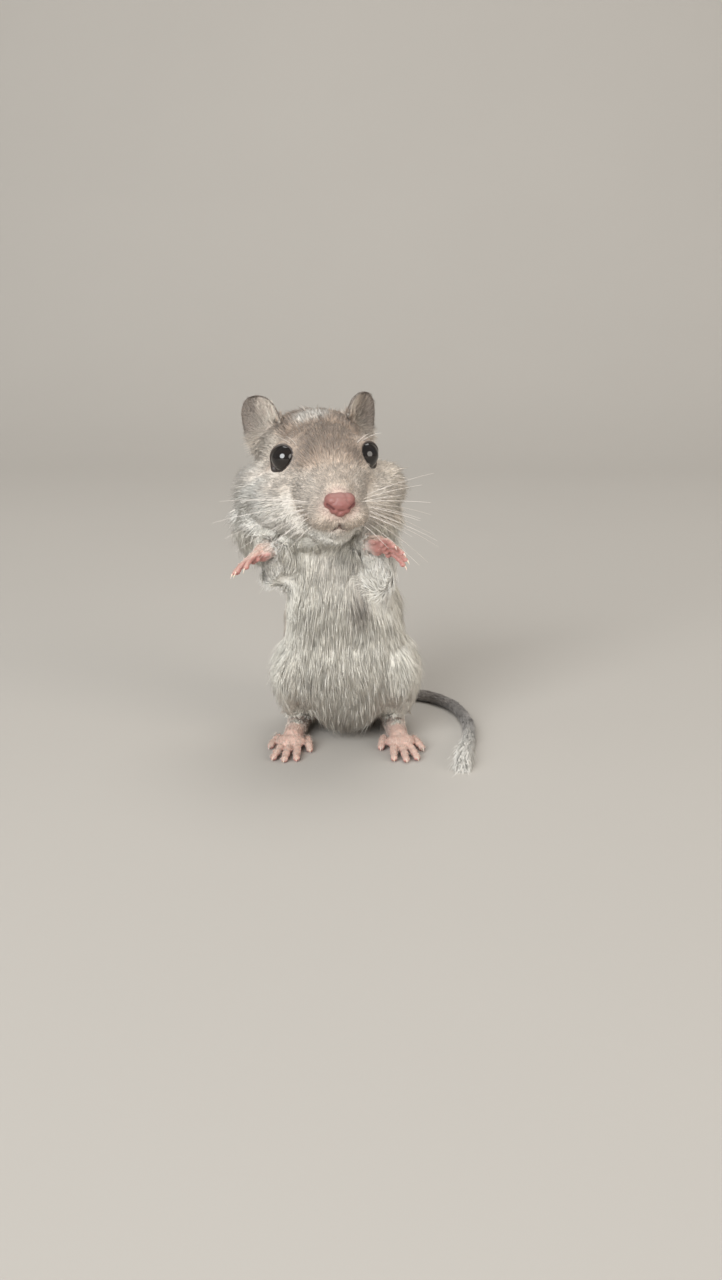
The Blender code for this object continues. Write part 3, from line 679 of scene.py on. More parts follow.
@dataclass
class Stance:
    """Where the gerbil's parts are, in millimetres, as its source has them."""

    nodes: dict[str, bpy.types.Object]
    head_at: tuple[float, float, float] = (-5.05, -4.5, 47.25)
    yaw: float = 11.5
    nod: float = 4.0
    roll: float = -0.6
    eye_radius: float = 2.45
    eye_at: tuple[float, float, float] = (6.25, -5.8, 3.0)
    opening_sideways: float = 43.0      # the middle of the gap between the lids
    opening_upwards: float = 8.0
    opening: float = 59.0               # degrees from that middle to the lids
    corner: float = 235.0               # the opening's pointed end: backwards and down
    corner_point: int = 24              # how narrow that end is
    body_side: float = -0.7
    foot_spread: float = 8.5
    foot_splay: float = 6.0
    tail_sink: float = 0.22
    tail_thick: tuple[float, float] = (1.6, 1.05)
    tail_route: tuple[tuple[float, float, float], ...] = (
        (0.4, 14.4, 7.4), (2.4, 18.6, 4.0), (7.6, 21.4, 1.5), (14.0, 20.0, 1.3), (18.6, 14.4, 1.2),
        (20.6, 6.0, 1.1), (20.6, -3.0, 1.0), (19.4, -11.0, 0.9), (18.6, -17.5, 0.8),
    )
    arms: dict[Side, tuple[tuple[float, float, float], ...]] = field(default_factory=lambda: {
        Side.RIGHT: ((-9.8, 1.0, 33.6), (-12.1, -3.0, 30.0), (-12.6, -9.8, 34.6)),
        Side.LEFT: ((4.0, 1.0, 33.2), (4.7, -5.2, 29.0), (3.1, -11.2, 35.8)),
    })
    paw_aims: dict[Side, tuple[tuple[float, float, float], ...]] = field(default_factory=lambda: {
        Side.RIGHT: ((-0.86, -0.36, -0.24), (-0.12, 0.30, 0.95)),
        Side.LEFT: ((0.82, -0.44, -0.02), (-0.06, 0.72, 0.68)),
    })

    def __post_init__(self) -> None:
        """Works out the head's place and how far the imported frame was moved."""
        turn = (
            Matrix.Rotation(math.radians(self.yaw), 4, "Z") @ Matrix.Rotation(math.radians(self.nod), 4, "X")
            @ Matrix.Rotation(math.radians(self.roll), 4, "Y")
        )
        self.head = Matrix.Translation(self.head_at) @ turn
        moved = []
        for side in Side:
            low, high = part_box(f"eye_{side.name.lower()}")
            moved.append(np.array((low + high) / 2) / MM - carried(self.head, self.eye_centre(side))[0])
        self.shift = np.mean(moved, axis=0) * (1, 1, 0)

    def opening_axis(self, side: Side) -> np.ndarray:
        """The way the gap between the lids faces, in the head's coordinates."""
        out, up = math.radians(self.opening_sideways), math.radians(self.opening_upwards)
        return np.array((
            side.value * math.sin(out) * math.cos(up), -math.cos(out) * math.cos(up), math.sin(up),
        ))

    def opening_frame(self, side: Side) -> Matrix:
        """The eye's own place: the opening's middle along Z, X towards the nose and Y upwards."""
        axis = self.opening_axis(side)
        fore = np.array((0.0, -1.0, 0.0))
        fore = unit(fore - axis * (fore @ axis))
        up = np.array((0.0, 0.0, 1.0))
        up = unit(up - axis * (up @ axis) - fore * (up @ fore))
        turn = Matrix((Vector(fore), Vector(up), Vector(axis))).transposed().to_4x4()
        return self.head @ Matrix.Translation(self.eye_centre(side)) @ turn

    def opening_edge(self, turn: np.ndarray) -> np.ndarray:
        """Degrees from the opening's middle to the lids, for angles round it in radians."""
        away = turn - math.radians(self.corner)
        peak = np.maximum(0.0, np.cos(away))
        return self.opening * (1 + 0.10 * peak ** 3 + 0.16 * peak ** 12 - 0.24 * np.sin(away) ** 2)

    def corner_share(self, turn: np.ndarray) -> np.ndarray:
        """1 at the opening's pointed end and 0 away from it, for angles round it in radians."""
        return np.maximum(0.0, np.cos(turn - math.radians(self.corner))) ** self.corner_point

    def eye_centre(self, side: Side) -> np.ndarray:
        """An eye's middle, in the head's coordinates."""
        return np.array((side.value * self.eye_at[0], self.eye_at[1], self.eye_at[2]))

    def in_head(self, points: np.ndarray) -> np.ndarray:
        """Points in the head's own coordinates."""
        return carried(self.head.inverted(), points)

    def paw(self, side: Side) -> Matrix:
        """A forepaw's own place: the wrist at the origin, fingers along -Y, its back up."""
        aim, back = (Vector(v) for v in self.paw_aims[side])
        forward = -aim.normalized()
        across = forward.cross(back).normalized()
        up = across.cross(forward).normalized()
        turn = Matrix((across, forward, up)).transposed().to_4x4()
        return Matrix.Translation(self.arms[side][2]) @ turn

    def foot(self, side: Side) -> Matrix:
        """A hind foot's own place: under the ankle, toes along -Y."""
        splay = Matrix.Rotation(math.radians(side.value * self.foot_splay), 4, "Z")
        return Matrix.Translation((self.body_side + side.value * self.foot_spread, -1.0, 0.0)) @ splay

    def tail_line(self, count: int) -> tuple[np.ndarray, np.ndarray]:
        """Points along the tail and their radii, the coat included."""
        line = smooth_route(self.tail_route, count)
        share = np.linspace(0, 1, count)
        radii = self.tail_thick[1] + (self.tail_thick[0] - self.tail_thick[1]) * (1 - share) ** 2.2
        line[:, 2] = radii - self.tail_sink + np.maximum(0.0, line[:, 2] - 1.6)
        return line, radii


def finished(
    name: str, surface: Surface, stance: Stance, finish: bpy.types.Material,
    tones: np.ndarray | None = None,
) -> bpy.types.Object:
    """Makes a piece of the gerbil and lets it ride on the body.

    Args:
        name: The piece's name.
        surface: Its shape in millimetres.
        stance: Where the frame lies.
        finish: Its material.
        tones: A linear colour a point, or none.

    Returns:
        The object, with its place in its mesh.
    """
    mesh = surface.mesh(name, MM, stance.shift)
    if tones is not None:
        paint(mesh, tones)
    mesh.materials.append(finish)
    return ridden(placed(name, mesh))


def ridden(piece: bpy.types.Object) -> bpy.types.Object:
    """Lets a piece ride on the gerbil's one body."""
    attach(piece, "root")
    log.info("%s: %d faces", piece.name, len(piece.data.polygons))
    return piece


def paint(mesh: bpy.types.Mesh, tones: np.ndarray) -> None:
    """Writes a colour attribute, one colour a point."""
    layer = mesh.color_attributes.new(TONE, "FLOAT_COLOR", "POINT")
    rows = np.ones((len(tones), 4), np.float32)
    rows[:, :3] = np.clip(tones, 0.0, 1.0)
    layer.data.foreach_set("color", rows.ravel())


def thinned(piece: bpy.types.Object, most: int) -> None:
    """Merges the smallest faces of a dense piece until it has no more than a number of them.

    Args:
        piece: The object, whose mesh is replaced.
        most: The number of triangles to keep.
    """
    count = len(piece.data.polygons)
    if count <= most:
        return
    modifier = piece.modifiers.new("thinned", "DECIMATE")
    modifier.ratio = most / count
    whole = evaluated(piece)
    piece.modifiers.remove(modifier)
    dense, piece.data = piece.data, whole
    bpy.data.meshes.remove(dense)
    log.info("%s: thinned from %d to %d triangles", piece.name, count, len(whole.polygons))


# The gerbil


@dataclass(frozen=True)
class Markings:
    """The coat's colours, and where each lies."""

    taupe: tuple[float, ...] = (174, 155, 139)
    dark_taupe: tuple[float, ...] = (136, 117, 101)
    beige: tuple[float, ...] = (210, 199, 187)
    muzzle: tuple[float, ...] = (160, 145, 132)
    cream: tuple[float, ...] = (206, 191, 176)
    white: tuple[float, ...] = (238, 235, 228)
    # belly: the trunk's white, a dimmer copy of the white: painted shade
    belly: tuple[float, ...] = (226, 222, 212)
    temple: tuple[float, ...] = (212, 201, 188)
    warm_white: tuple[float, ...] = (226, 208, 188)
    # grey_root_and_shade: the coat's grey roots, also used as painted shade on the chest
    grey_root_and_shade: tuple[float, ...] = (150, 142, 134)
    pink: tuple[float, ...] = (200, 162, 152)
    pad: tuple[float, ...] = (174, 124, 117)
    paw_hair: tuple[float, ...] = (232, 214, 202)
    ear: tuple[float, ...] = (146, 135, 126)
    ear_inside: tuple[float, ...] = (216, 202, 190)
    ear_hair: tuple[float, ...] = (232, 224, 212)
    ear_rim: tuple[float, ...] = (92, 82, 75)
    tail: tuple[float, ...] = (158, 153, 149)
    mouth: tuple[float, ...] = (92, 66, 60)

    def head(self, local: np.ndarray, stance: Stance) -> np.ndarray:
        """Colours of the head's coat.

        Args:
            local: Points in the head's coordinates.
            stance: The pose.

        Returns:
            Linear colours.
        """
        x, y, z = local.T
        wobble = ripple(local, 5.0, 3)
        tones = flat(self.taupe, len(local))
        dark = ease(z, 2.0, 5.0) * ease(y, 3.0, -1.0) * (0.75 + 0.35 * ripple(local, 3.2, 4))
        tones = washed(tones, self.dark_taupe, np.clip(dark, 0, 1) * 0.5)
        # beige under the eyes and on the muzzle's sides
        low = ease(z + 0.4 * wobble, 3.2, 0.6) * ease(y, -3.0, -6.0)
        tones = washed(tones, self.beige, low)
        # darker specks beside the nose
        beside = ease(np.abs(x), 1.6, 2.4) * ease(np.abs(x), 5.0, 3.4) * ease(y, -14.0, -16.5)
        beside *= ease(z, -4.6, -2.6) * (0.75 + 0.4 * ripple(local, 1.1, 7))
        tones = washed(tones, self.muzzle, np.clip(beside, 0, 1) * 0.5)
        # cream on the nose's bridge, which runs out between the eyes
        width = np.interp(y, (-19.0, -16.0, -13.0, -8.0), (1.5, 2.2, 2.7, 1.2))
        blaze = ease(np.abs(x) + 0.5 * wobble, width + 1.1, width - 1.1) * ease(y + wobble, -9.5, -14.5)
        streak = 0.72 + 0.28 * ripple(local * (3.0, 0.8, 0.8), 2.6, 6)
        tones = washed(tones, self.cream, np.clip(blaze * streak, 0, 1) * ease(z, -4.0, -1.5) * 0.85)
        # pale temples, from before each ear to under it
        temple = ease(np.abs(x) + 0.5 * wobble, 5.7, 7.3) * ease(y + 0.6 * wobble, -4.0, -0.8)
        temple *= ease(y, 10.5, 7.5)
        tones = washed(tones, self.temple, temple * ease(z, 7.6, 5.8))
        # pale lips and chin
        lips = ease(z + 0.2 * wobble, -3.0, -4.6) * ease(y, -10.0, -14.0)
        tones = washed(tones, self.cream, lips * 0.8)
        chin = ease(z + 0.3 * wobble, -5.6, -7.4) * ease(y, -7.0, -12.0)
        tones = washed(tones, self.white, chin * 0.95)
        # white cheeks, from under the eyes backwards
        line = 0.2 + 0.10 * (y + 6.0)
        cheek = ease(z + 0.7 * wobble, line + 0.4, line - 2.8) * ease(y + 0.8 * wobble, -13.0, -4.5)
        cheek = np.maximum(cheek, ease(np.abs(x), 8.2, 9.8) * ease(z, 4.2, 1.6) * ease(y, 6.5, 3.0))
        cheek *= np.maximum(
            ease(y + wobble, 8.0, 3.0), ease(np.abs(x) + wobble, 8.0, 10.0) * ease(y, 12.0, 8.0),
        )
        dull = 0.50 * ease(z + wobble, -3.5, 0.5) * ease(x, 0.0, -6.0)
        tones = washed(tones, self.white, np.clip(cheek, 0, 1) * (1 - dull))
        # a warm tint on the left cheek: painted warm reflected light
        tones = washed(tones, self.warm_white, np.clip(cheek, 0, 1) * ease(x, 4.0, 9.0) * 0.45)
        # a white spot on the crown
        spot = ease(np.hypot((x + 0.5) * 0.75 + 0.7 * wobble, y - 0.6), 2.6, 0.9) * ease(z, 5.0, 6.5)
        tones = washed(tones, self.white, spot * 0.8)
        pad = gap(local, (0, -19.0, -1.8), (2.6, 2.4, 2.2))
        tones = washed(tones, self.pink, ease(pad, 1.35, 0.95) * 0.38)
        # paler hair round the eyes
        for side in Side:
            away = gap(local, stance.eye_centre(side))
            tones = washed(tones, self.white, ease(away, 4.4, 3.2) * 0.10)
        return tones

    def body(self, points: np.ndarray) -> np.ndarray:
        """Colours of the trunk's and legs' coat, from points in millimetres."""
        x, y, z = points.T
        wobble = ripple(points, 6.0, 8)
        middle = np.interp(z, (6, 20, 34, 42), (-0.7, -1.2, -3.2, -4.8))
        depth = np.interp(z, (6, 20, 34, 42), (1.5, 1.5, 1.5, 0.0))
        turn = np.degrees(np.arctan2(np.abs(x - middle), -(y - depth))) + 9.0 * wobble
        # the white reaches less far round the right side: partly the back's colour, partly painted shade on
        # that flank
        edge = np.where(x < middle, 92.0, 104.0)
        white = ease(turn, edge + 14.0, edge - 12.0)
        # the trunk's white is the dimmed copy: painted shade over the body
        tones = washed(flat(self.taupe, len(points)), self.belly, white)
        tones = washed(tones, self.dark_taupe, ease(turn, 150.0, 178.0) * 0.4)
        # grey patches low on the chest and under the chin: partly the coat's grey roots, partly painted
        # shade of the paws and chin
        parting_and_paw_shade = ease(np.hypot((x - 1.4) / 2.0, (z - 27.0) / 3.2), 1.3, 0.4) * ease(y, -4.0, -7.0)
        chest = ease(np.hypot((x + 1.5) / 6.0, (z - 32.5) / 4.5), 1.3, 0.4) * ease(y, -3.0, -6.0)
        tones = washed(tones, self.grey_root_and_shade, np.maximum(parting_and_paw_shade * 0.75, chest * 0.4))
        under = ease(np.hypot((x + 1.0) / 2.6, (z - 4.2) / 3.0), 1.3, 0.5) * ease(y, -3.0, -6.0)
        return washed(tones, self.dark_taupe, under * 0.5)


@dataclass
class Ear:
    """One ear: a cupped leaf on the side of the crown."""

    side: Side
    stance: Stance
    height: float = 9.5
    width: float = 7.8
    thick: float = 0.52
    cup: float = 2.3
    root: tuple[float, float, float] = (7.9, 5.0, 2.0)
    leans: tuple[float, float] = (9.0, 2.0)     # outwards, right and left
    turn: float = 44.0

    def place(self) -> Matrix:
        """The ear's own place: its root at the origin, its tip up, its cup facing -Y."""
        s = self.side.value
        return (
            self.stance.head @ Matrix.Translation((s * self.root[0], self.root[1], self.root[2]))
            @ Matrix.Rotation(math.radians(s * self.leans[s > 0]), 4, "Y")
            @ Matrix.Rotation(math.radians(s * self.turn), 4, "Z")
        )

    @staticmethod
    def spread(share: np.ndarray) -> np.ndarray:
        """The leaf's half width at a share of its height, as a share of its widest."""
        return np.maximum(0.0, 1 - np.abs((share - 0.48) / 0.521) ** 2.5) ** (1 / 2.2)

    def leaf(self, across: np.ndarray, share: np.ndarray) -> np.ndarray:
        """Points of the leaf's middle sheet, in the ear's coordinates."""
        half = self.width / 2 * self.spread(share)
        cup = self.cup * (1 - across ** 2) * self.spread(share) * (1 - 0.25 * share)
        fold = 0.34 * np.exp(-((across * self.side.value + 0.42) / 0.16) ** 2) * np.sin(np.pi * share)
        curl = 0.3 * share ** 2
        return np.stack([across * half, cup - curl - fold, share * self.height], axis=-1)

    def surface(self) -> Surface:
        """The closed shell, thinner towards its rim."""
        rows, columns = 34, 30
        share = np.sin(np.pi / 2 * np.arange(rows) / (rows - 1))
        across = np.sin(np.pi / 2 * np.linspace(-1, 1, columns))
        a, s = np.meshgrid(across, share)
        sheet = self.leaf(a, s)
        step = 1e-3
        out = unit(np.cross(
            self.leaf(a + step, s) - self.leaf(a - step, s), self.leaf(a, s + step) - self.leaf(a, s - step),
        ))
        rim = np.sqrt(np.maximum(0.02, 1 - np.abs(a) ** 5)) * np.sqrt(np.maximum(0.03, 1 - s ** 8))
        half = (self.thick / 2 * rim)[..., None]
        front, back = (sheet + out * half).reshape(-1, 3), (sheet - out * half).reshape(-1, 3)
        faces = []
        for row in range(rows - 1):
            for column in range(columns - 1):
                p = row * columns + column
                q, r, t = p + 1, p + columns + 1, p + columns
                faces += [(p, q, r), (p, r, t)]
        count = rows * columns
        faces += [(last + count, middle + count, first + count) for first, middle, last in faces]
        rim_line = (
            list(range(columns)) + [row * columns + columns - 1 for row in range(1, rows)]
            + [(rows - 1) * columns + column for column in range(columns - 2, -1, -1)]
            + [row * columns for row in range(rows - 2, 0, -1)]
        )
        for here, after in zip(rim_line, rim_line[1:] + rim_line[:1]):
            faces += [(here, here + count, after + count), (here, after + count, after)]
        return Surface(np.concatenate([front, back]), np.array(faces)).outward().moved(self.place())


def digit(
    root: Sequence[float], heading: float, size: float, length: float, droop: float,
) -> list[np.ndarray]:
    """The four joints of a finger or toe.

    Args:
        root: Its first joint, in the foot's coordinates.
        heading: Radians outwards from straight ahead.
        size: The length of the foot's longest digit.
        length: This one's length as a share of that.
        droop: How far it bends down, more at each bone.

    Returns:
        The joints from root to tip.
    """
    step = np.array((math.sin(heading), -math.cos(heading), 0)) * size * length / 3
    joints = [np.array(root)]
    for bone in (1, 2, 3):
        joints.append(joints[-1] + step - np.array((0, 0, droop * (0.2 + 0.5 * bone))))
    return joints


@dataclass
class Paw:
    """A forepaw: palm, four fingers, a thumb stub and pads."""

    side: Side
    stance: Stance
    finger: float = 4.1
    lengths: tuple[float, ...] = (0.84, 1.0, 0.97, 0.76)
    thick: float = 0.50
    droop: float = 0.42

    def fingers(self) -> list[tuple[list[np.ndarray], float]]:
        """Each finger's joints in the paw's coordinates, and its radius."""
        made = []
        for number, length in enumerate(self.lengths):
            root, heading = ((number - 1.5) * 1.12, -3.0, 0.0), math.radians((number - 1.5) * 13)
            made.append((digit(root, heading, self.finger, length, self.droop), self.thick))
        return made

    def place(self) -> Matrix:
        """The paw's own place."""
        return self.stance.paw(self.side)

    def add(self, clay: Clay) -> None:
        """Adds the flesh."""
        place, s = self.place(), self.side.value
        clay.chain(place, ((0, 1.6, 0), (0, -0.6, 0), (0, -1.8, 0)), (1.3, 1.3, 1.5))
        clay.ball(place, (0, -2.3, -0.1), (1.95, 1.85, 0.98))
        for number, (joints, thick) in enumerate(self.fingers()):
            add_digit(clay, place, joints, thick)
            clay.ball(place, ((number - 1.5) * 1.05, -3.3, -0.78), 0.52)
        clay.ball(place, (-s * 1.7, -1.5, -0.6), (0.62, 0.8, 0.5))
        clay.ball(place, (s * 0.9, -1.4, -0.88), (0.8, 1.0, 0.6))
        clay.ball(place, (-s * 0.55, -1.3, -0.8), (0.7, 0.9, 0.55))


@dataclass
class Foot:
    """A long hind foot flat on the floor, with five toes."""

    side: Side
    stance: Stance
    toe: float = 5.8
    thick: float = 0.70
    droop: float = 0.09
    toes: tuple[tuple[int, float, float], ...] = (
        (-2, 0.60, -4.6), (-1, 0.94, -8.6), (0, 1.0, -9.0), (1, 0.94, -8.6), (2, 0.66, -5.4),
    )

    def fingers(self) -> list[tuple[list[np.ndarray], float]]:
        """Each toe's joints in the foot's coordinates, and its radius."""
        made = []
        for number, length, start in self.toes:
            root, heading = (number * 1.28, start, 0.95), math.radians(number * 6.5)
            made.append((digit(root, heading, self.toe, length, self.droop), self.thick))
        return made

    def place(self) -> Matrix:
        """The foot's own place."""
        return self.stance.foot(self.side)

    def add(self, clay: Clay) -> None:
        """Adds the flesh."""
        place = self.place()
        clay.chain(place, ((0, 7.0, 2.2), (0, 0.5, 1.75), (0, -6.0, 1.5)), (1.9, 1.65, 1.6))
        clay.ball(place, (0, -7.2, 1.2), (2.5, 2.6, 1.3))
        for joints, thick in self.fingers():
            add_digit(clay, place, joints, thick)


def add_digit(clay: Clay, place: Matrix, joints: Sequence[np.ndarray], thick: float) -> None:
    """Adds a finger or toe with slight knuckles and a full pad under its end."""
    clay.chain(place, joints, [thick, thick * 0.88, thick * 0.82, thick * 0.74])
    for joint, swell in zip(joints[1:3], (1.04, 0.98)):
        clay.ball(place, joint, thick * swell)
    clay.ball(place, joints[3] + np.array((0, 0.1, -0.12 * thick)), thick * np.array((0.86, 1.1, 0.82)))


@dataclass
class Claws:
    """The claws of all four feet: curved, tapering and sharp."""

    length: float = 0.88
    root_thick: float = 0.23
    sides: int = 8
    horn: tuple[float, ...] = (222, 200, 186)
    root_tone: tuple[float, ...] = (200, 150, 138)

    def claw(self, joints: Sequence[np.ndarray], thick: float, place: Matrix) -> tuple[Surface, np.ndarray]:
        """One claw at the end of a digit, and its colours."""
        reach = unit(joints[3] - joints[2])
        up = np.array((0.0, 0.0, 1.0))
        across = unit(np.cross(reach, up))
        start = joints[3] + reach * thick * 0.35 + up * thick * 0.12
        rings, tones = [], []
        for share in np.arange(7) / 6:
            curve = up * (0.16 * share - 0.52 * share ** 2) * self.length
            size = self.root_thick * (1 - share) ** 0.7 + 0.025
            middle = start + reach * self.length * share + curve
            rings.append(ring(middle, across, up, self.sides, size, 0.72))
            tones.append(washed(flat(self.root_tone, 1), self.horn, [ease(share, 0, 0.5)]))
        bands = [np.repeat(tone, self.sides, axis=0) for tone in tones]
        return loft(rings).moved(place), np.concatenate([*bands, tones[0], tones[-1]])

    def build(self, stance: Stance, feet: Iterable[Any], horn: bpy.types.Material) -> None:
        """Builds the claws of these feet as one piece a kind of foot."""
        for kind in (Paw, Foot):
            parts, tones = [], []
            for foot in feet:
                if isinstance(foot, kind):
                    for joints, thick in foot.fingers():
                        part, colours = self.claw(joints, thick, foot.place())
                        part.points[:, 2] = np.maximum(part.points[:, 2], FLOOR_GAP)
                        parts.append(part)
                        tones.append(colours)
            name = "claws_" + kind.__name__.lower()
            finished(name, parts[0].joined(*parts[1:]), stance, horn, np.concatenate(tones))


@dataclass
class Skin:
    """The whole hide, without a seam, inside the source's solids by the depth of the coat."""

    stance: Stance
    voxel: float = 0.36
    swell: float = 0.28
    foot_voxel: float = 0.13
    depths: dict[str, float] = field(default_factory=lambda: {
        "head": 0.6, "neck": 1.3, "torso": 1.2, "nose": 0.25, "foreleg": 0.5, "hind": 0.9, "forepaw": 0.3,
        "foot": 0.35, "ear": 0.4, "tail": 0.28,
    })

    def build(self) -> None:
        """Shapes the hide and labels it."""
        self.cad_points, self.cad_labels = self._solids()
        body = self._trunk()
        labels = self._nearest(body.points)
        depth = body.spread(self._depth(body.points, labels), 14)
        body.points = body.points - body.normals() * (depth + self.swell)[:, None]
        body = body.smoothed(2)
        for side in Side:
            self._open_eye(body, side)
        self.feet: list[Any] = [kind(side, self.stance) for kind in (Paw, Foot) for side in Side]
        self.ears = {side: Ear(side, self.stance) for side in Side}
        for foot in self.feet:
            clay = Clay()
            foot.add(clay)
            body = body.cut_or_joined(clay.melted(self.foot_voxel, 3), "UNION")
        for ear in self.ears.values():
            body = body.cut_or_joined(ear.surface(), "UNION")
        body = body.cut_or_joined(self._mouth(), "DIFFERENCE")
        body.points[:, 2] = np.maximum(body.points[:, 2], FLOOR_GAP)
        self.surface = body
        self.labels = self._nearest(body.points)
        self.normals = body.normals()
        log.info("skin: %d points", len(body.points))

    def _solids(self) -> tuple[np.ndarray, np.ndarray]:
        """All the source's corners in millimetres, and the number of the node of each."""
        points, labels = [], []
        for number, name in enumerate(FLESH):
            found = Surface.of_mesh(self.stance.nodes[name].data).points / MM - self.stance.shift
            points.append(found)
            labels.append(np.full(len(found), number))
        return np.concatenate(points), np.concatenate(labels)

    def _nearest(self, points: np.ndarray) -> np.ndarray:
        """The number in FLESH of the node nearest to each point."""
        tree = kdtree.KDTree(len(self.cad_points))
        for index, point in enumerate(self.cad_points):
            tree.insert(point, index)
        tree.balance()
        return np.array([self.cad_labels[tree.find(point)[1]] for point in points])

    def _trunk(self) -> Surface:
        """Head, trunk, legs and tail in one, a little swollen so that the solids' gaps close."""
        parts = []
        for name in FLESH[:8]:
            form = bmesh.new()
            form.from_mesh(self.stance.nodes[name].data)
            bmesh.ops.remove_doubles(form, verts=form.verts, dist=0.003 * MM)
            form.normal_update()
            for vert in form.verts:
                vert.co = (vert.co / MM - Vector(self.stance.shift)) + vert.normal * self.swell
            mesh = bpy.data.meshes.new("flesh")
            form.to_mesh(mesh)
            form.free()
            parts.append(Surface.of_mesh(mesh))
            bpy.data.meshes.remove(mesh)
        clay = Clay()
        for side in Side:
            clay.ball(self.stance.head, self.stance.eye_centre(side), self.stance.eye_radius + 0.1)
        line, radii = self.stance.tail_line(70)
        rings = []
        for index in range(len(line)):
            ahead = unit(line[min(index + 1, len(line) - 1)] - line[max(index - 1, 0)])
            across = unit(np.cross(ahead, (0, 0, 1)))
            radius = (radii[index] + self.swell - 0.05) * (0.55 if index == len(line) - 1 else 1.0)
            rings.append(ring(line[index], across, np.cross(across, ahead), 20, radius))
        return parts[0].joined(*parts[1:], *clay.parts, loft(rings)).melted(self.voxel).smoothed(9)

    def _depth(self, points: np.ndarray, labels: np.ndarray) -> np.ndarray:
        """How far the hide lies inside the tips of the coat, at each point."""
        names = np.array([name.split("_")[0] for name in FLESH])[labels]
        depth = np.array([self.depths[name] for name in names])
        depth[np.array([name.startswith("hind_foot") for name in FLESH])[labels]] = self.depths["foot"]
        local = self.stance.in_head(points)
        x, y, z = local.T
        head = names == "head"
        cheek = ease(np.abs(x), 5.5, 9.0) * ease(z, 1.5, -1.5) * ease(y, -9.0, -3.0)
        face = ease(gap(local, NOSE), 4.0, 16.0)
        depth = np.where(head, 0.22 + 0.38 * face + 1.2 * cheek, depth)
        depth += 0.75 * ease(gap(local, (0, -19.6, -1.5), (2.4, 2.2, 2.1)), 1.15, 0.7)
        for side in Side:
            depth = depth * ease(gap(local, self.stance.eye_centre(side)), 3.0, 4.6)
        return depth

    def _open_eye(self, body: Surface, side: Side) -> None:
        """Sinks the hide under the eyeball inside the opening, and lifts it a little as lids round it."""
        place, radius = self.stance.opening_frame(side), self.stance.eye_radius
        own = carried(place.inverted(), body.points)
        reach = np.linalg.norm(own, axis=1)
        near = np.flatnonzero(reach < 4.4)
        own, reach = own[near], reach[near]
        angle = np.degrees(np.arccos(np.clip(own[:, 2] / reach, -1, 1)))
        beyond = angle - self.stance.opening_edge(np.arctan2(own[:, 1], own[:, 0]))
        sunk = ease(beyond, 7.0, 0.0)
        lids = ease(beyond, 2.0, 9.0) * ease(beyond, 42.0, 20.0)
        wanted = reach * (1 - sunk) + np.minimum(reach, radius - 0.22) * sunk
        wanted = np.maximum(wanted, (radius + 0.16) * lids)
        body.points[near] = carried(place, own * (wanted / reach)[:, None])

    def mouth_lines(self) -> list[np.ndarray]:
        """The line of the mouth and the cleft from it to the nose, in the head's coordinates."""
        lips = (
            (-2.1, -16.0, -6.5), (-1.2, -17.3, -6.2), (0, -18.2, -5.7), (1.2, -17.3, -6.2),
            (2.1, -16.0, -6.5),
        )
        cleft = ((0, -20.0, -3.2), (0, -19.6, -4.3), (0, -18.3, -5.4))
        return [smooth_route(lips, 15), smooth_route(cleft, 7)]

    def _mouth(self) -> Surface:
        """The thin line of the mouth and the cleft under the nose, as a cutter."""
        clay = Clay()
        for route in self.mouth_lines():
            clay.chain(self.stance.head, route, [0.21] * len(route))
        return clay.melted(0.09, 1)


@dataclass
class Lie:
    """How the coat lies at each point of the skin."""

    flow: np.ndarray
    length: np.ndarray
    lift: np.ndarray
    dense: np.ndarray
    thick: np.ndarray
    tone: np.ndarray
    part: np.ndarray
    hair: np.ndarray | None = None

    def put(self, here: np.ndarray, **fields: Any) -> None:
        """Sets fields at some points.

        Args:
            here: Which points.
            fields: What each field gets: one value, a row for each of these points or one for every point.
        """
        for name, value in fields.items():
            rows = getattr(self, name)
            everywhere = isinstance(value, np.ndarray) and len(value) == len(rows)
            rows[here] = value[here] if everywhere else value


class Unwrap:
    """An unwrap of the skin's own shape, on which each tuft has its place."""

    def __init__(self, skin: Surface) -> None:
        """Unwraps a coarse copy of the skin."""
        self.shape = skin.melted(1.0)
        plan = placed("unwrap", self.shape.mesh("unwrap"))
        bpy.context.view_layer.objects.active = plan
        plan.select_set(True)
        bpy.ops.object.mode_set(mode="EDIT")
        bpy.ops.mesh.select_all(action="SELECT")
        bpy.ops.uv.smart_project(angle_limit=math.radians(66), island_margin=0.004)
        bpy.ops.object.mode_set(mode="OBJECT")
        spots = np.empty(len(plan.data.loops) * 2, np.float32)
        plan.data.uv_layers.active.data.foreach_get("uv", spots)
        self.spots = spots.reshape(-1, 3, 2).astype(float)
        self.tree = bvhtree.BVHTree.FromPolygons(
            [tuple(p) for p in self.shape.points], [tuple(f) for f in self.shape.faces.tolist()]
        )
        bpy.data.objects.remove(plan)

    def places(self, roots: np.ndarray) -> np.ndarray:
        """Each root's place on the unwrap."""
        found = [self.tree.find_nearest(root) for root in roots]
        hits = np.array([spot[0] for spot in found])
        index = np.array([spot[2] for spot in found])
        corners = self.shape.points[self.shape.faces]
        a, b, c = (corners[index, corner] for corner in range(3))
        v0, v1, v2 = b - a, c - a, hits - a
        d00, d01, d11 = (v0 * v0).sum(1), (v0 * v1).sum(1), (v1 * v1).sum(1)
        d20, d21 = (v2 * v0).sum(1), (v2 * v1).sum(1)
        low = np.maximum(d00 * d11 - d01 * d01, 1e-12)
        v, w = (d11 * d20 - d01 * d21) / low, (d00 * d21 - d01 * d20) / low
        shares = np.stack([1 - v - w, v, w], axis=1)
        return np.clip((self.spots[index] * shares[:, :, None]).sum(axis=1), 0.002, 0.995)


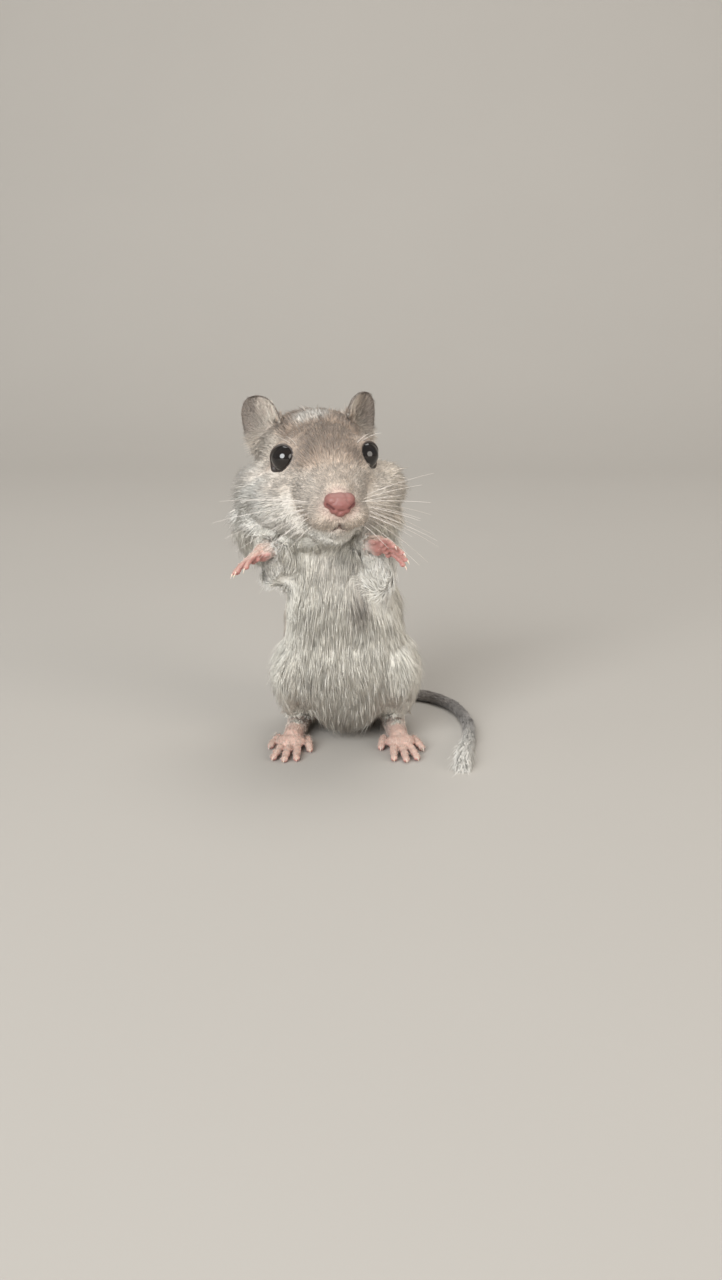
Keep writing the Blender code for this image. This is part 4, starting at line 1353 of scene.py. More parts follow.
@dataclass
class Coat:
    """The coat: thin tufts over the whole skin that follow the way it lies."""

    skin: Skin
    markings: Markings
    seed: int = 11
    stations: int = 2           # rings of three points up each tuft, before its tip
    guard_share: float = 0.05   # the part of the tufts that are longer and stand out more
    gathered: int = 10          # tufts that bend to the end of one
    sunk: float = 0.08          # how deep a tuft's root lies in the skin

    def __post_init__(self) -> None:
        """Looks up which node of the source each point of the skin belongs to."""
        self.points = self.skin.surface.points
        self.names = np.array(FLESH)[self.skin.labels]
        self.kinds = np.array([name.split("_")[0] for name in FLESH])[self.skin.labels]
        self.local = self.skin.stance.in_head(self.points)

    def lie(self) -> Lie:
        """Works out how the coat lies at each point of the skin."""
        skin, stance, points, kinds = self.skin, self.skin.stance, self.points, self.kinds
        count = len(points)
        lie = Lie(
            flow=np.tile((0.0, 0.10, -1.0), (count, 1)), length=np.full(count, 4.8),
            lift=np.full(count, 12.0), dense=np.ones(count), thick=np.full(count, 0.125),
            tone=self.markings.body(points), part=np.full(count, CoatPart.BACK, dtype=object),
        )
        # down the back, and down and outwards over the belly
        front = points[:, 1] < np.interp(points[:, 2], (5, 25, 42), (-1.0, -1.0, -2.0))
        lie.put(front, part=CoatPart.BELLY, flow=(0.0, -0.05, -1.0))
        lie.flow[:, 0] += 0.16 * ripple(points, 10.0, 21) + 0.05 * ripple(points, 3.5, 24)
        lie.put((kinds == "neck") | ((kinds == "torso") & (points[:, 2] > 35.5)), part=CoatPart.THROAT)
        head = (kinds == "head") | (kinds == "nose")
        self._head(lie, head)
        self._eyes(lie, head)
        self._ruff(lie, head)
        for side in Side:
            tag = side.name.lower()
            self._foreleg(lie, side)
            self._bare(lie, f"forepaw_{tag}", stance.paw(side))
            self._bare(lie, f"hind_foot_{tag}", stance.foot(side))
            self._hind_leg(lie, side)
            self._ear(lie, skin.ears[side])
        self._tail(lie)
        flow = skin.surface.spread(lie.flow, 16)
        flow -= skin.normals * np.einsum("ij,ij->i", flow, skin.normals)[:, None]
        lie.flow = unit(flow)
        lie.length = skin.surface.spread(lie.length, 8)
        lie.lift = skin.surface.spread(lie.lift, 8)
        lie.tone = skin.surface.spread(lie.tone, 2)
        lie.hair = self._hair(lie.tone)
        return lie

    def _head(self, lie: Lie, head: np.ndarray) -> None:
        """Sets the head: hair that runs back from the nose, longer on the cheeks, none in the mouth."""
        x, y, z = self.local.T
        stance = self.skin.stance
        away = gap(self.local, NOSE)
        outward = self.local - (0, -20.5, -2.2)
        outward[:, 2] -= 0.20 * away
        cheek = ease(np.abs(x), 5.0, 8.6) * ease(z, 1.8, -1.5) * ease(y, -9.5, -4.0)
        back = ease(y, -2.0, 8.0)[:, None]
        droop = np.interp(z, (-9.0, -3.0, 1.0), (-0.50, -0.20, 0.0))
        sideways = np.stack([np.sign(x) * 0.40, 0 * x, droop], axis=1)
        down_neck = np.stack([np.sign(x) * 0.12, 0 * x + 0.35, 0 * x - 1.0], axis=1)
        outward = (unit(outward) + sideways * cheek[:, None]) * (1 - back) + down_neck * back
        reach = np.interp(away, (0, 3, 7, 12, 17, 22, 28), (0.45, 0.75, 1.35, 2.0, 2.5, 2.9, 3.4))
        # the right cheek lies flatter than the left one
        longer, raised = np.where(x < 0, 0.9, 1.8), np.where(x < 0, 2.0, 8.0) * ease(np.abs(x), 7.5, 10.0)
        lie.put(
            head, flow=outward @ np.array(stance.head)[:3, :3].T, length=reach + longer * cheek,
            lift=11.0 + 3.0 * ease(away, 8, 22) + cheek * (3.0 + raised),
            dense=np.interp(away, (0, 8, 14, 30), (2.2, 1.6, 1.15, 1.0)),
            thick=np.interp(away, (0, 10, 20), (0.085, 0.13, 0.14)) - 0.02 * cheek,
            part=CoatPart.FACE, tone=self.markings.head(self.local, stance),
        )
        lie.put(head & (away > 15.5) & (cheek < 0.35), part=CoatPart.CROWN)
        lie.put(head & (cheek >= 0.35), part=CoatPart.CHEEK_RIGHT)
        lie.put(head & (cheek >= 0.35) & (x > 0), part=CoatPart.CHEEK_LEFT)
        lie.put(head & (z < -8.0) & (y > -9.0), length=2.8, part=CoatPart.THROAT)
        lie.put(head & (gap(self.local, (0, -19.4, -1.6), (2.25, 2.0, 1.9)) < 1.0), dense=0.0)
        gape = np.min([gap(self.local, spot) for spot in np.concatenate(self.skin.mouth_lines())], axis=0)
        lie.tone = washed(lie.tone, self.markings.mouth, ease(gape, 0.38, 0.20) * head)
        lie.put(head & (gape < 0.26), dense=0.0)
        lie.put(head, length=np.minimum(lie.length, 0.42 + 0.8 * gape))

    def _eyes(self, lie: Lie, head: np.ndarray) -> None:
        """Sets the hair round the eyes: short, with none between the lids."""
        stance = self.skin.stance
        for side in Side:
            near = gap(self.local, stance.eye_centre(side))
            lie.put(head & (near < 5.4), length=np.minimum(lie.length, 0.40 + 1.3 * ease(near, 3.0, 5.4)))
            own = carried(stance.opening_frame(side).inverted(), self.points)
            angle = np.degrees(np.arccos(np.clip(own[:, 2] / np.maximum(near, 0.1), -1, 1)))
            turn = np.arctan2(own[:, 1], own[:, 0])
            beyond = angle - stance.opening_edge(turn)
            lie.put(head & (near < 4.2) & (beyond < 5.0 + 9.0 * stance.corner_share(turn)), dense=0.0)

    def _ruff(self, lie: Lie, head: np.ndarray) -> None:
        """Sets the ruff, which keeps the cheeks' length beside the jaw."""
        x, y, _ = self.local.T
        ruff = (~head) & (np.abs(x) > 6.0) & (self.points[:, 2] > 33) & (y < 8)
        lie.put(ruff, length=4.2, lift=14.0)
        lie.flow[ruff, 0] += (np.sign(x) * 0.35)[ruff]

    def _foreleg(self, lie: Lie, side: Side) -> None:
        """Sets a foreleg: white, down to the elbow and out to the wrist."""
        shoulder, elbow, wrist = (np.array(joint) for joint in self.skin.stance.arms[side])
        here = self.names == f"foreleg_{side.name.lower()}"
        from_wrist = gap(self.points, wrist)
        lower = from_wrist < gap(self.points, shoulder)
        lie.put(here & ~lower, flow=unit(elbow - shoulder))
        lie.put(here & lower, flow=unit(wrist - elbow))
        lie.put(
            here, length=np.interp(from_wrist, (0, 3, 8), (0.9, 1.5, 2.8)), lift=14.0, thick=0.11,
            part=CoatPart.FORELEGS, tone=linear(*self.markings.white),
        )

    def _hind_leg(self, lie: Lie, side: Side) -> None:
        """Sets a hind leg, whose hair turns forward over the ankle."""
        z = self.points[:, 2]
        low = ease(z, 7.0, 3.0)
        flow = np.stack([0.10 * side.value * (1 - low), -0.30 - 0.8 * low, -1.0 + 0.55 * low], axis=1)
        lie.put(
            self.names == f"hind_leg_{side.name.lower()}", part=CoatPart.HAUNCHES, flow=flow,
            length=np.interp(z, (1, 5, 14), (1.5, 2.2, 3.8)),
        )

    def _hair(self, tone: np.ndarray) -> np.ndarray:
        """The hair's colour, which is the skin's but on the feet and in the ears."""
        hair = tone.copy()
        furred = washed(tone, self.markings.paw_hair, np.full(len(tone), 0.9))
        for side, ear in self.skin.ears.items():
            tag = side.name.lower()
            for label in (f"forepaw_{tag}", f"hind_foot_{tag}"):
                hair[self.names == label] = furred[self.names == label]
            here = self.names == f"ear_{tag}"
            own = carried(ear.place().inverted(), self.points)
            facing = (self.skin.normals @ np.array(ear.place())[:3, :3])[:, 1] < 0
            medial = ease(-side.value * own[:, 0] / (ear.width / 2), -0.5, 0.15)
            upwards = 0.5 * ripple(own, 2.4, 51) + 1.1 - own[:, 2] / ear.height
            pale = facing * medial * ease(upwards, -0.1, 0.7)
            hair[here] = washed(tone, self.markings.ear_hair, 0.10 + 0.85 * pale)[here]
        return hair

    def _bare(self, lie: Lie, label: str, place: Matrix) -> None:
        """Sets a paw or foot: pink, with sparse short hair on its back and bare pads."""
        marks = self.markings
        own = carried(place.inverted(), self.points)
        turn = np.array(place)[:3, :3]
        hind = label.startswith("hind")
        below = own[:, 2] < (0.5 if hind else -0.35)
        upper = ease(self.skin.normals @ turn[:, 2], -0.1, 0.5)
        ankle = ease(own[:, 1], -5.0, 2.0) if hind else ease(own[:, 1], -2.2, 0.4)
        tone = washed(flat(marks.pink, len(own)), marks.pad, below.astype(float))
        tone = washed(washed(tone, marks.warm_white, 0.28 * upper), marks.white, ankle * 0.8)
        lie.put(
            self.names == label, flow=turn @ np.array((0.0, -1.0, 0.0)), lift=11.0, part=CoatPart.FEET,
            length=0.62 + 1.2 * ankle + 0.45 * upper * hind, thick=0.07 + 0.03 * ankle, tone=tone,
            dense=np.where(below, 0.10, 0.7 + 1.6 * ankle + 1.1 * upper),
        )

    def _ear(self, lie: Lie, ear: Ear) -> None:
        """Sets an ear: grey, darker at its rim and outer side, pale fine hair inside."""
        marks = self.markings
        own = carried(ear.place().inverted(), self.points)
        turn = np.array(ear.place())[:3, :3]
        share = np.clip(own[:, 2] / ear.height, 0, 1)
        half = ear.width / 2 * np.maximum(0.2, ear.spread(share))
        rim = np.maximum(np.abs(own[:, 0]) / half, ease(share, 0.7, 1.0)) * ease(share, 0.08, 0.35)
        inside = (self.skin.normals @ turn)[:, 1] < 0
        way = np.stack([own[:, 0], 0 * share, own[:, 2] - 0.25 * ear.height], axis=1)
        medial = ease(-ear.side.value * own[:, 0] / half, -0.45, 0.15)
        shade = washed(flat(marks.ear, len(own)), marks.ear_inside, inside * (0.12 + 0.88 * medial))
        shade = washed(shade, marks.temple, inside * ease(share, 0.42, 0.16) * 0.9)
        lie.put(
            self.names == f"ear_{ear.side.name.lower()}", flow=way @ turn.T, part=CoatPart.EARS, thick=0.07,
            length=np.where(inside, 1.7, 0.75) * (1 - 0.72 * ease(rim, 0.35, 1.0)),
            lift=np.where(inside, 20.0, 9.0), dense=np.where(inside, 1.6, 1.5),
            tone=washed(shade, marks.ear_rim, ease(rim, 0.72, 1.0) * 0.8),
        )

    def _tail(self, lie: Lie) -> None:
        """Sets the tail: short grey hair along it, longer and paler towards the brush."""
        line, _ = self.skin.stance.tail_line(90)
        here = np.flatnonzero(self.kinds == "tail")
        index = np.linalg.norm(self.points[here][:, None] - line[None], axis=2).argmin(axis=1)
        share = index / (len(line) - 1)
        ahead = unit(np.gradient(line, axis=0))[index]
        end = (self.skin.normals[here] * ahead).sum(axis=1)
        grey = flat(self.markings.tail, len(here))
        lie.put(
            here, flow=ahead, length=np.interp(share, (0, 0.1, 0.5, 0.8, 0.93), (2.2, 1.2, 1.6, 3.4, 5.6)),
            lift=np.interp(share, (0, 0.6, 0.85, 1.0), (9.0, 11.0, 14.0, 9.0)), part=CoatPart.TAIL,
            dense=np.interp(share, (0, 0.6, 1.0), (1.2, 1.2, 2.4)) * ease(end, 0.6, 0.4),
            thick=np.interp(share, (0, 0.7, 1.0), (0.09, 0.10, 0.12)),
            tone=washed(grey, self.markings.white, ease(share, 0.60, 0.90) * 0.8),
        )

    def _roots(
        self, lie: Lie, part: CoatPart, count: int, rng: np.random.Generator,
    ) -> dict[str, np.ndarray]:
        """Root points spread over a stretch of skin, with the lie of the coat at each."""
        surface = self.skin.surface
        faces = surface.faces[(lie.part[surface.faces] == part).sum(axis=1) >= 2]
        corners = surface.points[faces]
        across = np.cross(corners[:, 1] - corners[:, 0], corners[:, 2] - corners[:, 0])
        area = np.linalg.norm(across, axis=1) / 2
        weight = np.cumsum(area * lie.dense[faces].mean(axis=1))
        chosen = faces[np.searchsorted(weight, rng.uniform(0, weight[-1], count)).clip(0, len(faces) - 1)]
        u, v = rng.uniform(size=(2, count))
        flip = u + v > 1
        u, v = np.where(flip, 1 - u, u), np.where(flip, 1 - v, v)
        shares = np.stack([1 - u - v, u, v], axis=1)

        def at(values: np.ndarray) -> np.ndarray:
            """A field at the roots."""
            picked = values[chosen]
            return (picked * (shares[:, :, None] if picked.ndim == 3 else shares)).sum(axis=1)

        out = unit(at(self.skin.normals))
        flow = at(lie.flow)
        flow = unit(flow - out * (flow * out).sum(axis=1)[:, None])
        return {
            "root": at(surface.points), "out": out, "flow": flow, "length": at(lie.length),
            "lift": at(lie.lift), "thick": at(lie.thick), "tone": at(lie.hair),
        }

    def _tufts(
        self, spots: dict[str, np.ndarray], clump: float, rng: np.random.Generator,
    ) -> tuple[Surface, np.ndarray, np.ndarray, np.ndarray]:
        """Builds the tufts of one stretch.

        Args:
            spots: What _roots gives.
            clump: How far a tuft's end bends to the one that its neighbours share.
            rng: The source of chance.

        Returns:
            The surface, a colour a point, and each point's tuft and its place on that tuft's patch.
        """
        root, out, flow, length = spots["root"], spots["out"], spots["flow"], spots["length"]
        count, stations = len(root), self.stations
        guard = rng.uniform(size=count) < self.guard_share
        length = length * rng.uniform(0.72, 1.22, count) * np.where(guard, 1.25, 1.0)
        side = np.cross(flow, out)
        wander = rng.normal(0, 0.07, count) + 0.08 * ripple(root, 2.6, 31)
        flow = unit(flow + side * wander[:, None])
        side = np.cross(flow, out)
        lift = spots["lift"] * rng.uniform(0.7, 1.35, count) + rng.normal(0, 2.0, count)
        lift = np.radians(np.clip(lift + np.where(guard, 7.0, 0.0), 3, 70))
        centres = rng.choice(count, max(1, count // self.gathered), replace=False)
        tree = kdtree.KDTree(len(centres))
        for number, centre in enumerate(centres):
            tree.insert(root[centre], number)
        tree.balance()
        leader = centres[np.array([tree.find(point)[1] for point in root])]
        bend = rng.normal(0, 0.05, count)
        levels = np.linspace(0, 1, stations + 1)
        lines = []
        for level in levels:
            rise = level * np.sin(lift) - 0.42 * level ** 2 * np.sin(lift)
            line = (
                root + flow * (length * level * np.cos(lift))[:, None] + out * (length * rise)[:, None]
                + side * (length * bend * level ** 2)[:, None]
            )
            share = np.where(guard, 0.2, 1.0)[:, None] * clump * level ** 1.4
            line = line * (1 - share) + (line[leader] + (root - root[leader]) * 0.35) * share
            line[:, 2] = np.maximum(line[:, 2], HAIR_GAP)
            lines.append(line)
        widths = np.interp(levels, (0, 0.35, 0.7, 1.0), (1.0, 0.92, 0.62, 0.0))
        angles = np.radians((90, 210, 330))
        verts = np.empty((count, stations * 3 + 1, 3))
        for level in range(stations):
            size = spots["thick"] * widths[level] / 2
            for corner, angle in enumerate(angles):
                across = side * (size * math.cos(angle))[:, None]
                raised = out * (size * 0.6 * math.sin(angle))[:, None]
                verts[:, level * 3 + corner] = lines[level] + across + raised
        verts[:, -1] = lines[-1]
        verts[:, :3] -= out[:, None] * self.sunk
        faces = [(0, 2, 1)]
        for low in range(0, (stations - 1) * 3, 3):
            for corner in range(3):
                after = (corner + 1) % 3
                a, b, c, d = low + corner, low + after, low + 3 + after, low + 3 + corner
                faces += [(a, b, c), (a, c, d)]
        top, size = (stations - 1) * 3, stations * 3 + 1
        faces += [(top + corner, top + (corner + 1) % 3, size - 1) for corner in range(3)]
        all_faces = (np.array(faces)[None] + (np.arange(count) * size)[:, None, None]).reshape(-1, 3)
        change = np.interp(spots["tone"].mean(axis=1), (0.2, 0.75), (0.27, 0.10))
        shade = 1.0 + change * (rng.normal(0, 1.0, count) + 0.8 * ripple(root, 1.6, 44))
        tones = spots["tone"][:, None] * np.clip(shade, 0.55, 1.5)[:, None, None]
        rise = np.concatenate([np.repeat(levels[:-1], 3), [1.0]])
        # each tuft darker at its root and lighter at its tip: painted shade deep in the coat and painted
        # light on the tips
        tones = tones * np.interp(rise, (0, 0.5, 1.0), (0.80, 0.97, 1.08))[None, :, None]
        across, rise = np.tile((0, PATCH / 2, PATCH), stations), np.repeat(levels[:-1] * PATCH, 3)
        patch = np.concatenate([np.stack([across, rise], axis=1), [(PATCH / 2, PATCH)]])
        return (
            Surface(verts.reshape(-1, 3), all_faces), np.clip(tones, 0, 1).reshape(-1, 3),
            np.repeat(np.arange(count), size), np.tile(patch, (count, 1)),
        )

    def build(self, lie: Lie, finish: CoatFinish) -> None:
        """Grows every stretch of coat as a piece of its own."""
        unwrap = Unwrap(self.skin.surface)
        for number, (part, stretch) in enumerate(STRETCHES.items()):
            rng = np.random.default_rng(self.seed + number)
            spots = self._roots(lie, part, stretch.tufts, rng)
            surface, tones, tuft, patch = self._tufts(spots, stretch.clump, rng)
            hair = finish.made(f"hair_{part.value}")
            piece = finished(f"coat_{part.value}", surface, self.skin.stance, hair, tones)
            places = unwrap.places(spots["root"])[tuft] + patch
            layer = piece.data.uv_layers.new(name=BAKE_MAP)
            layer.data.foreach_set("uv", places[surface.faces.ravel()].astype(np.float32).ravel())


@dataclass
class Eye:
    """An eyeball with a bulging cornea, and the lid rim that its teardrop opening has."""

    side: Side
    stance: Stance
    lid_tone: tuple[float, ...] = (58, 50, 46)
    lid_outer: tuple[float, ...] = (172, 158, 146)
    corner_rise: float = 0.6    # how far the lids stand up at the opening's pointed end
    section: tuple[tuple[float, float], ...] = (    # degrees past the opening, height over the eyeball
        (0.0, -0.16), (-0.6, 0.05), (0.8, 0.17), (4.0, 0.24), (9.0, 0.24), (15.0, 0.16), (22.0, 0.0),
        (24.0, -0.25), (10.0, -0.35),
    )

    def ball(self) -> Surface:
        """The eyeball."""
        turn = np.linspace(0, 2 * np.pi, 64, endpoint=False)
        rings = []
        for angle in np.radians(np.linspace(2, 178, 44)):
            bulge = 1 + 0.045 * ease(math.degrees(angle), 62, 0)
            rings.append(self.stance.eye_radius * bulge * pointing(angle, turn))
        return loft(rings).moved(self.stance.opening_frame(self.side))

    def lid(self) -> tuple[Surface, np.ndarray]:
        """The lid's rim as a closed ring, and its colours."""
        turn = np.linspace(0, 2 * np.pi, 96, endpoint=False)
        edge = self.stance.opening_edge(turn)
        peak = self.stance.corner_share(turn)
        rows, tones = [], []
        for add, height in self.section:
            rise = self.corner_rise * peak * ease(add, -0.6, 1.0) * ease(add, 22.0, 9.0)
            reach = self.stance.eye_radius + height + rise
            rows.append(reach[:, None] * pointing(np.radians(edge + add), turn))
            outer = np.interp(add - 9.0 * peak, (0.8, 6.0, 12.0), (0.0, 0.25, 1.0))
            tones.append(washed(flat(self.lid_tone, len(turn)), self.lid_outer, outer))
        wide, faces = len(turn), []
        for row in range(len(rows)):
            low, high = row * wide, (row + 1) % len(rows) * wide
            for spot in range(wide):
                after = (spot + 1) % wide
                faces += [(low + spot, high + after, low + after), (low + spot, high + spot, high + after)]
        rim = Surface(np.concatenate(rows), np.array(faces)).outward()
        return rim.moved(self.stance.opening_frame(self.side)), np.concatenate(tones)

    def build(self, wet: bpy.types.Material, rim: bpy.types.Material) -> None:
        """Builds the eyeball and the lid."""
        tag = self.side.name.lower()
        ball = finished(f"eyeball_{tag}", self.ball(), self.stance, wet)
        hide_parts(f"eye_{tag}")
        surface, tones = self.lid()
        finished(f"lid_{tag}", surface, self.stance, rim, tones)


@dataclass
class Nose:
    """The bare heart-shaped nose with its comma nostrils."""

    stance: Stance
    tip: tuple[float, ...] = (138, 89, 84)
    upper: tuple[float, ...] = (156, 119, 110)
    # crease: the dark colour laid in the nostrils, painted shade
    crease: tuple[float, ...] = (92, 46, 44)
    nostril: tuple[tuple[float, float, float], ...] = (
        (1.25, -20.05, -2.35), (1.55, -19.95, -2.15), (1.85, -19.76, -1.90), (2.12, -19.5, -1.72),
    )
    lumps: tuple[tuple[float, ...], ...] = (        # middle and radii of each, the sided ones twice
        (0, -18.75, -1.75, 2.2, 1.78, 1.35), (0, -18.65, -1.15, 1.9, 1.68, 1.1),
        (1.15, -18.6, -1.2, 1.3, 1.55, 1.05), (1.55, -18.4, -1.85, 0.95, 1.45, 0.85),
        (0.75, -18.6, -2.6, 1.0, 1.5, 0.95), (0, -18.6, -3.1, 1.0, 1.4, 0.85),
    )
    groove: tuple[tuple[float, float, float], ...] = (
        (0, -20.85, -2.0), (0, -20.4, -3.0), (0, -19.6, -3.9),
    )

    def build(self, pink: bpy.types.Material) -> None:
        """Builds the nose pad."""
        head = self.stance.head
        clay = Clay()
        for x, y, z, *radii in self.lumps:
            for s in (-1, 1) if x else (1,):
                clay.ball(head, (s * x, y, z), radii)
        pad = clay.melted(0.10, 20)
        nostrils = [[(s * x, y, z) for x, y, z in self.nostril] for s in (-1, 1)]
        cuts = [(route, (0.16, 0.22, 0.17, 0.10), 0.08) for route in nostrils]
        cuts.append((self.groove, (0.10, 0.16, 0.2), 0.07))
        for route, radii, voxel in cuts:
            cutter = Clay()
            cutter.chain(head, route, radii)
            pad = pad.cut_or_joined(cutter.melted(voxel, 1), "DIFFERENCE")
        local = self.stance.in_head(pad.points)
        # painted shade in the nostrils: the crease colour along their cuts
        deep = np.zeros(len(local))
        for s in (-1, 1):
            for spot in smooth_route([(s * x, y + 0.08, z) for x, y, z in self.nostril], 9):
                deep = np.maximum(deep, ease(gap(local, spot), 0.32, 0.16))
        tones = washed(flat(self.tip, len(local)), self.upper, ease(local[:, 2], -1.7, -0.5) * 0.35)
        finished("nose_pad", pad, self.stance, pink, washed(tones, self.crease, deep))


@dataclass
class Whiskers:
    """Long whiskers on the muzzle's pads and a few over the eyes, by Geometry Nodes."""

    stance: Stance
    thick: float = 0.052
    tip: float = 0.018
    seed: int = 5

    def routes(self) -> list[np.ndarray]:
        """The line of each whisker in millimetres."""
        rng = np.random.default_rng(self.seed)
        made = []
        for side in Side:
            s = side.value
            for row in range(4):
                for place in range(4):
                    root = np.array((s * (2.7 + 0.55 * place), -16.6 + 0.95 * place, -2.3 - 0.75 * row))
                    root += rng.normal(0, 0.12, 3)
                    way = np.array((s, -0.32 + 0.30 * place, 0.16 - 0.26 * row))
                    way = unit(way + rng.normal(0, 0.11, 3))
                    length = (8.0 + 3.2 * place) * rng.uniform(0.75, 1.15) * (0.80 if s < 0 else 1.0)
                    made.append(self._line(root, way, length, 0.16 + 0.05 * row))
            for number in range(2):
                root = np.array((s * (4.9 + 0.7 * number), -7.6 + 0.6 * number, 5.4))
                way = unit(np.array((s * (0.5 + 0.3 * number), -0.25, 0.65)))
                made.append(self._line(root, way, 3.2 + number, 0.5))
        return made

    def _line(self, root: np.ndarray, way: np.ndarray, length: float, sag: float) -> np.ndarray:
        """One whisker's points, curving down towards its end."""
        share = np.linspace(0, 1, 12)[:, None]
        local = root + way * share * length - np.array((0, 0, 1.0)) * sag * length * share ** 2 * 0.5
        return carried(self.stance.head, local)

    def _tree(self) -> bpy.types.NodeTree:
        """Nodes that give each line a tapering thickness."""
        tree = bpy.data.node_groups.new("whisker_maker", "GeometryNodeTree")
        face = tree.interface
        face.new_socket("Geometry", in_out="INPUT", socket_type="NodeSocketGeometry")
        for name in ("Root thickness", "Tip thickness"):
            face.new_socket(name, in_out="INPUT", socket_type="NodeSocketFloat")
        face.new_socket("Sides", in_out="INPUT", socket_type="NodeSocketInt")
        face.new_socket("Finish", in_out="INPUT", socket_type="NodeSocketMaterial")
        face.new_socket("Geometry", in_out="OUTPUT", socket_type="NodeSocketGeometry")
        nodes, links = tree.nodes, tree.links
        start, end = nodes.new("NodeGroupInput"), nodes.new("NodeGroupOutput")
        line = nodes.new("GeometryNodeMeshToCurve")
        along = nodes.new("GeometryNodeSplineParameter")
        spread = nodes.new("ShaderNodeMapRange")
        radius = nodes.new("GeometryNodeSetCurveRadius")
        circle = nodes.new("GeometryNodeCurvePrimitiveCircle")
        sweep = nodes.new("GeometryNodeCurveToMesh")
        realize = nodes.new("GeometryNodeRealizeInstances")
        dress = nodes.new("GeometryNodeSetMaterial")
        circle.inputs["Radius"].default_value = 1.0
        sweep.inputs["Fill Caps"].default_value = True
        for source, output, target, entry in (
            (start, "Geometry", line, "Mesh"), (along, "Factor", spread, "Value"),
            (start, "Root thickness", spread, "To Min"), (start, "Tip thickness", spread, "To Max"),
            (line, 0, radius, "Curve"), (spread, "Result", radius, "Radius"),
            (start, "Sides", circle, "Resolution"), (radius, 0, sweep, "Curve"),
            (circle, "Curve", sweep, "Profile Curve"), (spread, "Result", sweep, "Scale"),
            (sweep, "Mesh", realize, "Geometry"), (realize, "Geometry", dress, "Geometry"),
            (start, "Finish", dress, "Material"), (dress, "Geometry", end, "Geometry"),
        ):
            if entry in target.inputs:      # only newer sweeps have a Scale
                links.new(source.outputs[output], target.inputs[entry])
        return tree

    def build(self, finish: bpy.types.Material) -> None:
        """Builds all whiskers as one piece."""
        points, edges = [], []
        for route in self.routes():
            first = len(points)
            points += [tuple((p + self.stance.shift) * MM) for p in route]
            edges += [(first + i, first + i + 1) for i in range(len(route) - 1)]
        lines = bpy.data.meshes.new("whisker_lines")
        lines.from_pydata(points, edges, [])
        guide = placed("whisker_lines", lines)
        tree = self._tree()
        change = guide.modifiers.new("grow", "NODES")
        change.node_group = tree
        values = {
            "Root thickness": self.thick * MM, "Tip thickness": self.tip * MM, "Sides": 5, "Finish": finish,
        }
        for item in tree.interface.items_tree:
            if item.in_out == "INPUT" and item.name in values:
                change[item.identifier] = values[item.name]
        guide.update_tag()
        mesh = evaluated(guide)
        bpy.data.objects.remove(guide)
        mesh.shade_smooth()
        ridden(placed("whiskers", mesh))


# The setting


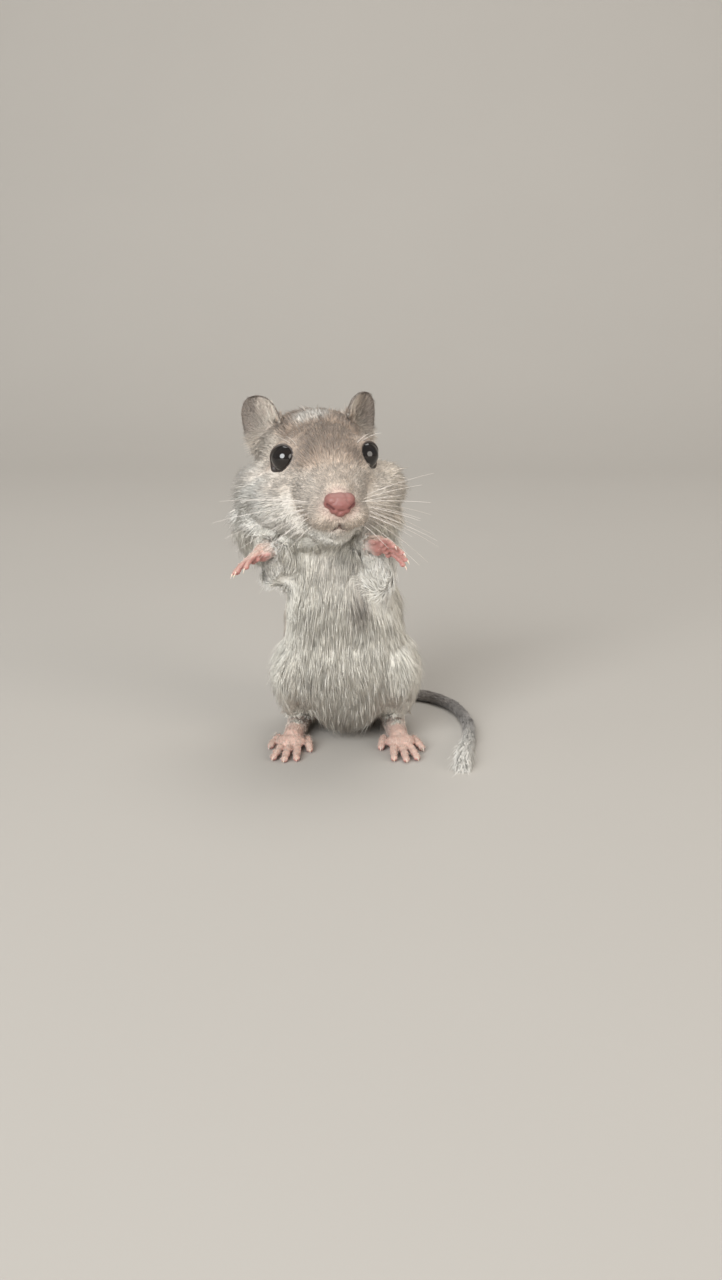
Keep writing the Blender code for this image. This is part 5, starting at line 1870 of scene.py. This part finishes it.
@dataclass
class Setting:
    """Floor, backdrop, lights and camera."""

    stance: Stance
    aim: tuple[float, float, float] = (1.9, 0.0, 16.9)
    distance: float = 260.0
    height: float = 14.0
    lens: float = 24.0 * 1508 / 1280
    frame_height: float = 24.0

    def backdrop(self) -> None:
        """A sheet of pale paper that curves up behind the gerbil."""
        steps = [(-1.4, 0.0), (0.35, 0.0)]
        for angle in range(10, 91, 10):
            turn = math.radians(angle)
            steps.append((0.35 + 0.35 * math.sin(turn), 0.35 - 0.35 * math.cos(turn)))
        steps.append((0.70, 1.9))
        form = bmesh.new()
        rows = []
        for y, z in steps:
            rows.append([form.verts.new((x, y, z)) for x in (-1.8, 1.8)])
        for low, high in zip(rows, rows[1:]):
            form.faces.new((low[0], low[1], high[1], high[0]))
        mesh = bpy.data.meshes.new("backdrop")
        form.to_mesh(mesh)
        form.free()
        mesh.shade_smooth()
        mesh.materials.append(BackdropFinish().made("pale_paper"))
        placed("backdrop", mesh)

    def light(
        self, name: str, spot: Sequence[float], size: float, power: float, colour: Sequence[float],
    ) -> None:
        """A round soft light that looks at the gerbil."""
        lamp = bpy.data.lights.new(name, "AREA")
        lamp.shape = "DISK"
        lamp.size = size
        lamp.energy = power
        lamp.color = colour
        stand = placed(name, lamp)
        stand.location = spot
        way = Vector((0, 0, 0.03)) - Vector(spot)
        stand.rotation_euler = way.to_track_quat("-Z", "Y").to_euler()

    def build(self) -> None:
        """Sets everything up."""
        scene = bpy.context.scene
        self.backdrop()
        self.light("key", (-0.34, -0.72, 0.36), 0.56, 8.2, (0.97, 0.99, 1.0))
        self.light("fill", (0.58, -0.56, 0.24), 0.60, 3.3, (1.0, 0.93, 0.86))
        self.light("top", (0.05, 0.25, 0.75), 0.55, 2.4, (1.0, 0.98, 0.95))
        world = bpy.data.worlds.new("soft_room")
        world.use_nodes = True
        room = world.node_tree.nodes["Background"].inputs
        room["Color"].default_value = (0.93, 0.92, 0.90, 1.0)
        room["Strength"].default_value = 0.36
        scene.world = world
        scene.view_settings.view_transform = "Standard"
        lens = bpy.data.cameras.new("photo_view")
        lens.sensor_fit = "VERTICAL"
        lens.sensor_height = self.frame_height
        lens.lens = self.lens
        lens.clip_start = 0.01
        camera = placed("photo_view", lens)
        target = (np.array(self.aim) + self.stance.shift) * MM
        rise = math.radians(self.height)
        away = np.array((0.0, -math.cos(rise), math.sin(rise))) * self.distance * MM
        camera.location = target + away
        camera.rotation_euler = Vector(-away).to_track_quat("-Z", "Y").to_euler()
        scene.camera = camera


def main() -> None:
    """Builds the gerbil and its setting, in order."""
    logging.basicConfig(level=logging.INFO, format="%(name)s: %(message)s")
    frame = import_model()
    stance = Stance(frame["nodes"])
    log.info("the frame is moved by %s mm", np.round(stance.shift, 3))
    Setting(stance).build()
    markings = Markings()
    skin = Skin(stance)
    skin.build()
    coat = Coat(skin, markings)
    lie = coat.lie()

    piece = finished("skin", skin.surface, stance, HideFinish().made("hide"), lie.tone)
    piece.data.materials.append(PinkFinish().made("pink_skin"))
    bare = np.array(["paw" in name or "foot" in name for name in FLESH])[skin.labels]
    kinds = bare[skin.surface.faces].sum(axis=1) >= 2
    piece.data.polygons.foreach_set("material_index", kinds.astype(np.int32))
    thinned(piece, SKIN_MOST)
    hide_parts(*FLESH)
    coat.build(lie, CoatFinish())

    rim = PinkFinish(roughness=0.5).made("lid_rim")
    for side in Side:
        Eye(side, stance).build(EyeFinish().made(f"wet_eye_{side.name.lower()}"), rim)
    Nose(stance).build(PinkFinish(crease=0.00026, coat=0.14, roughness=0.52).made("nose_skin"))
    Claws().build(stance, skin.feet, HornFinish().made("horn"))
    Whiskers(stance).build(WhiskerFinish().made("whisker_hair"))


if __name__ == "__main__":
    main()
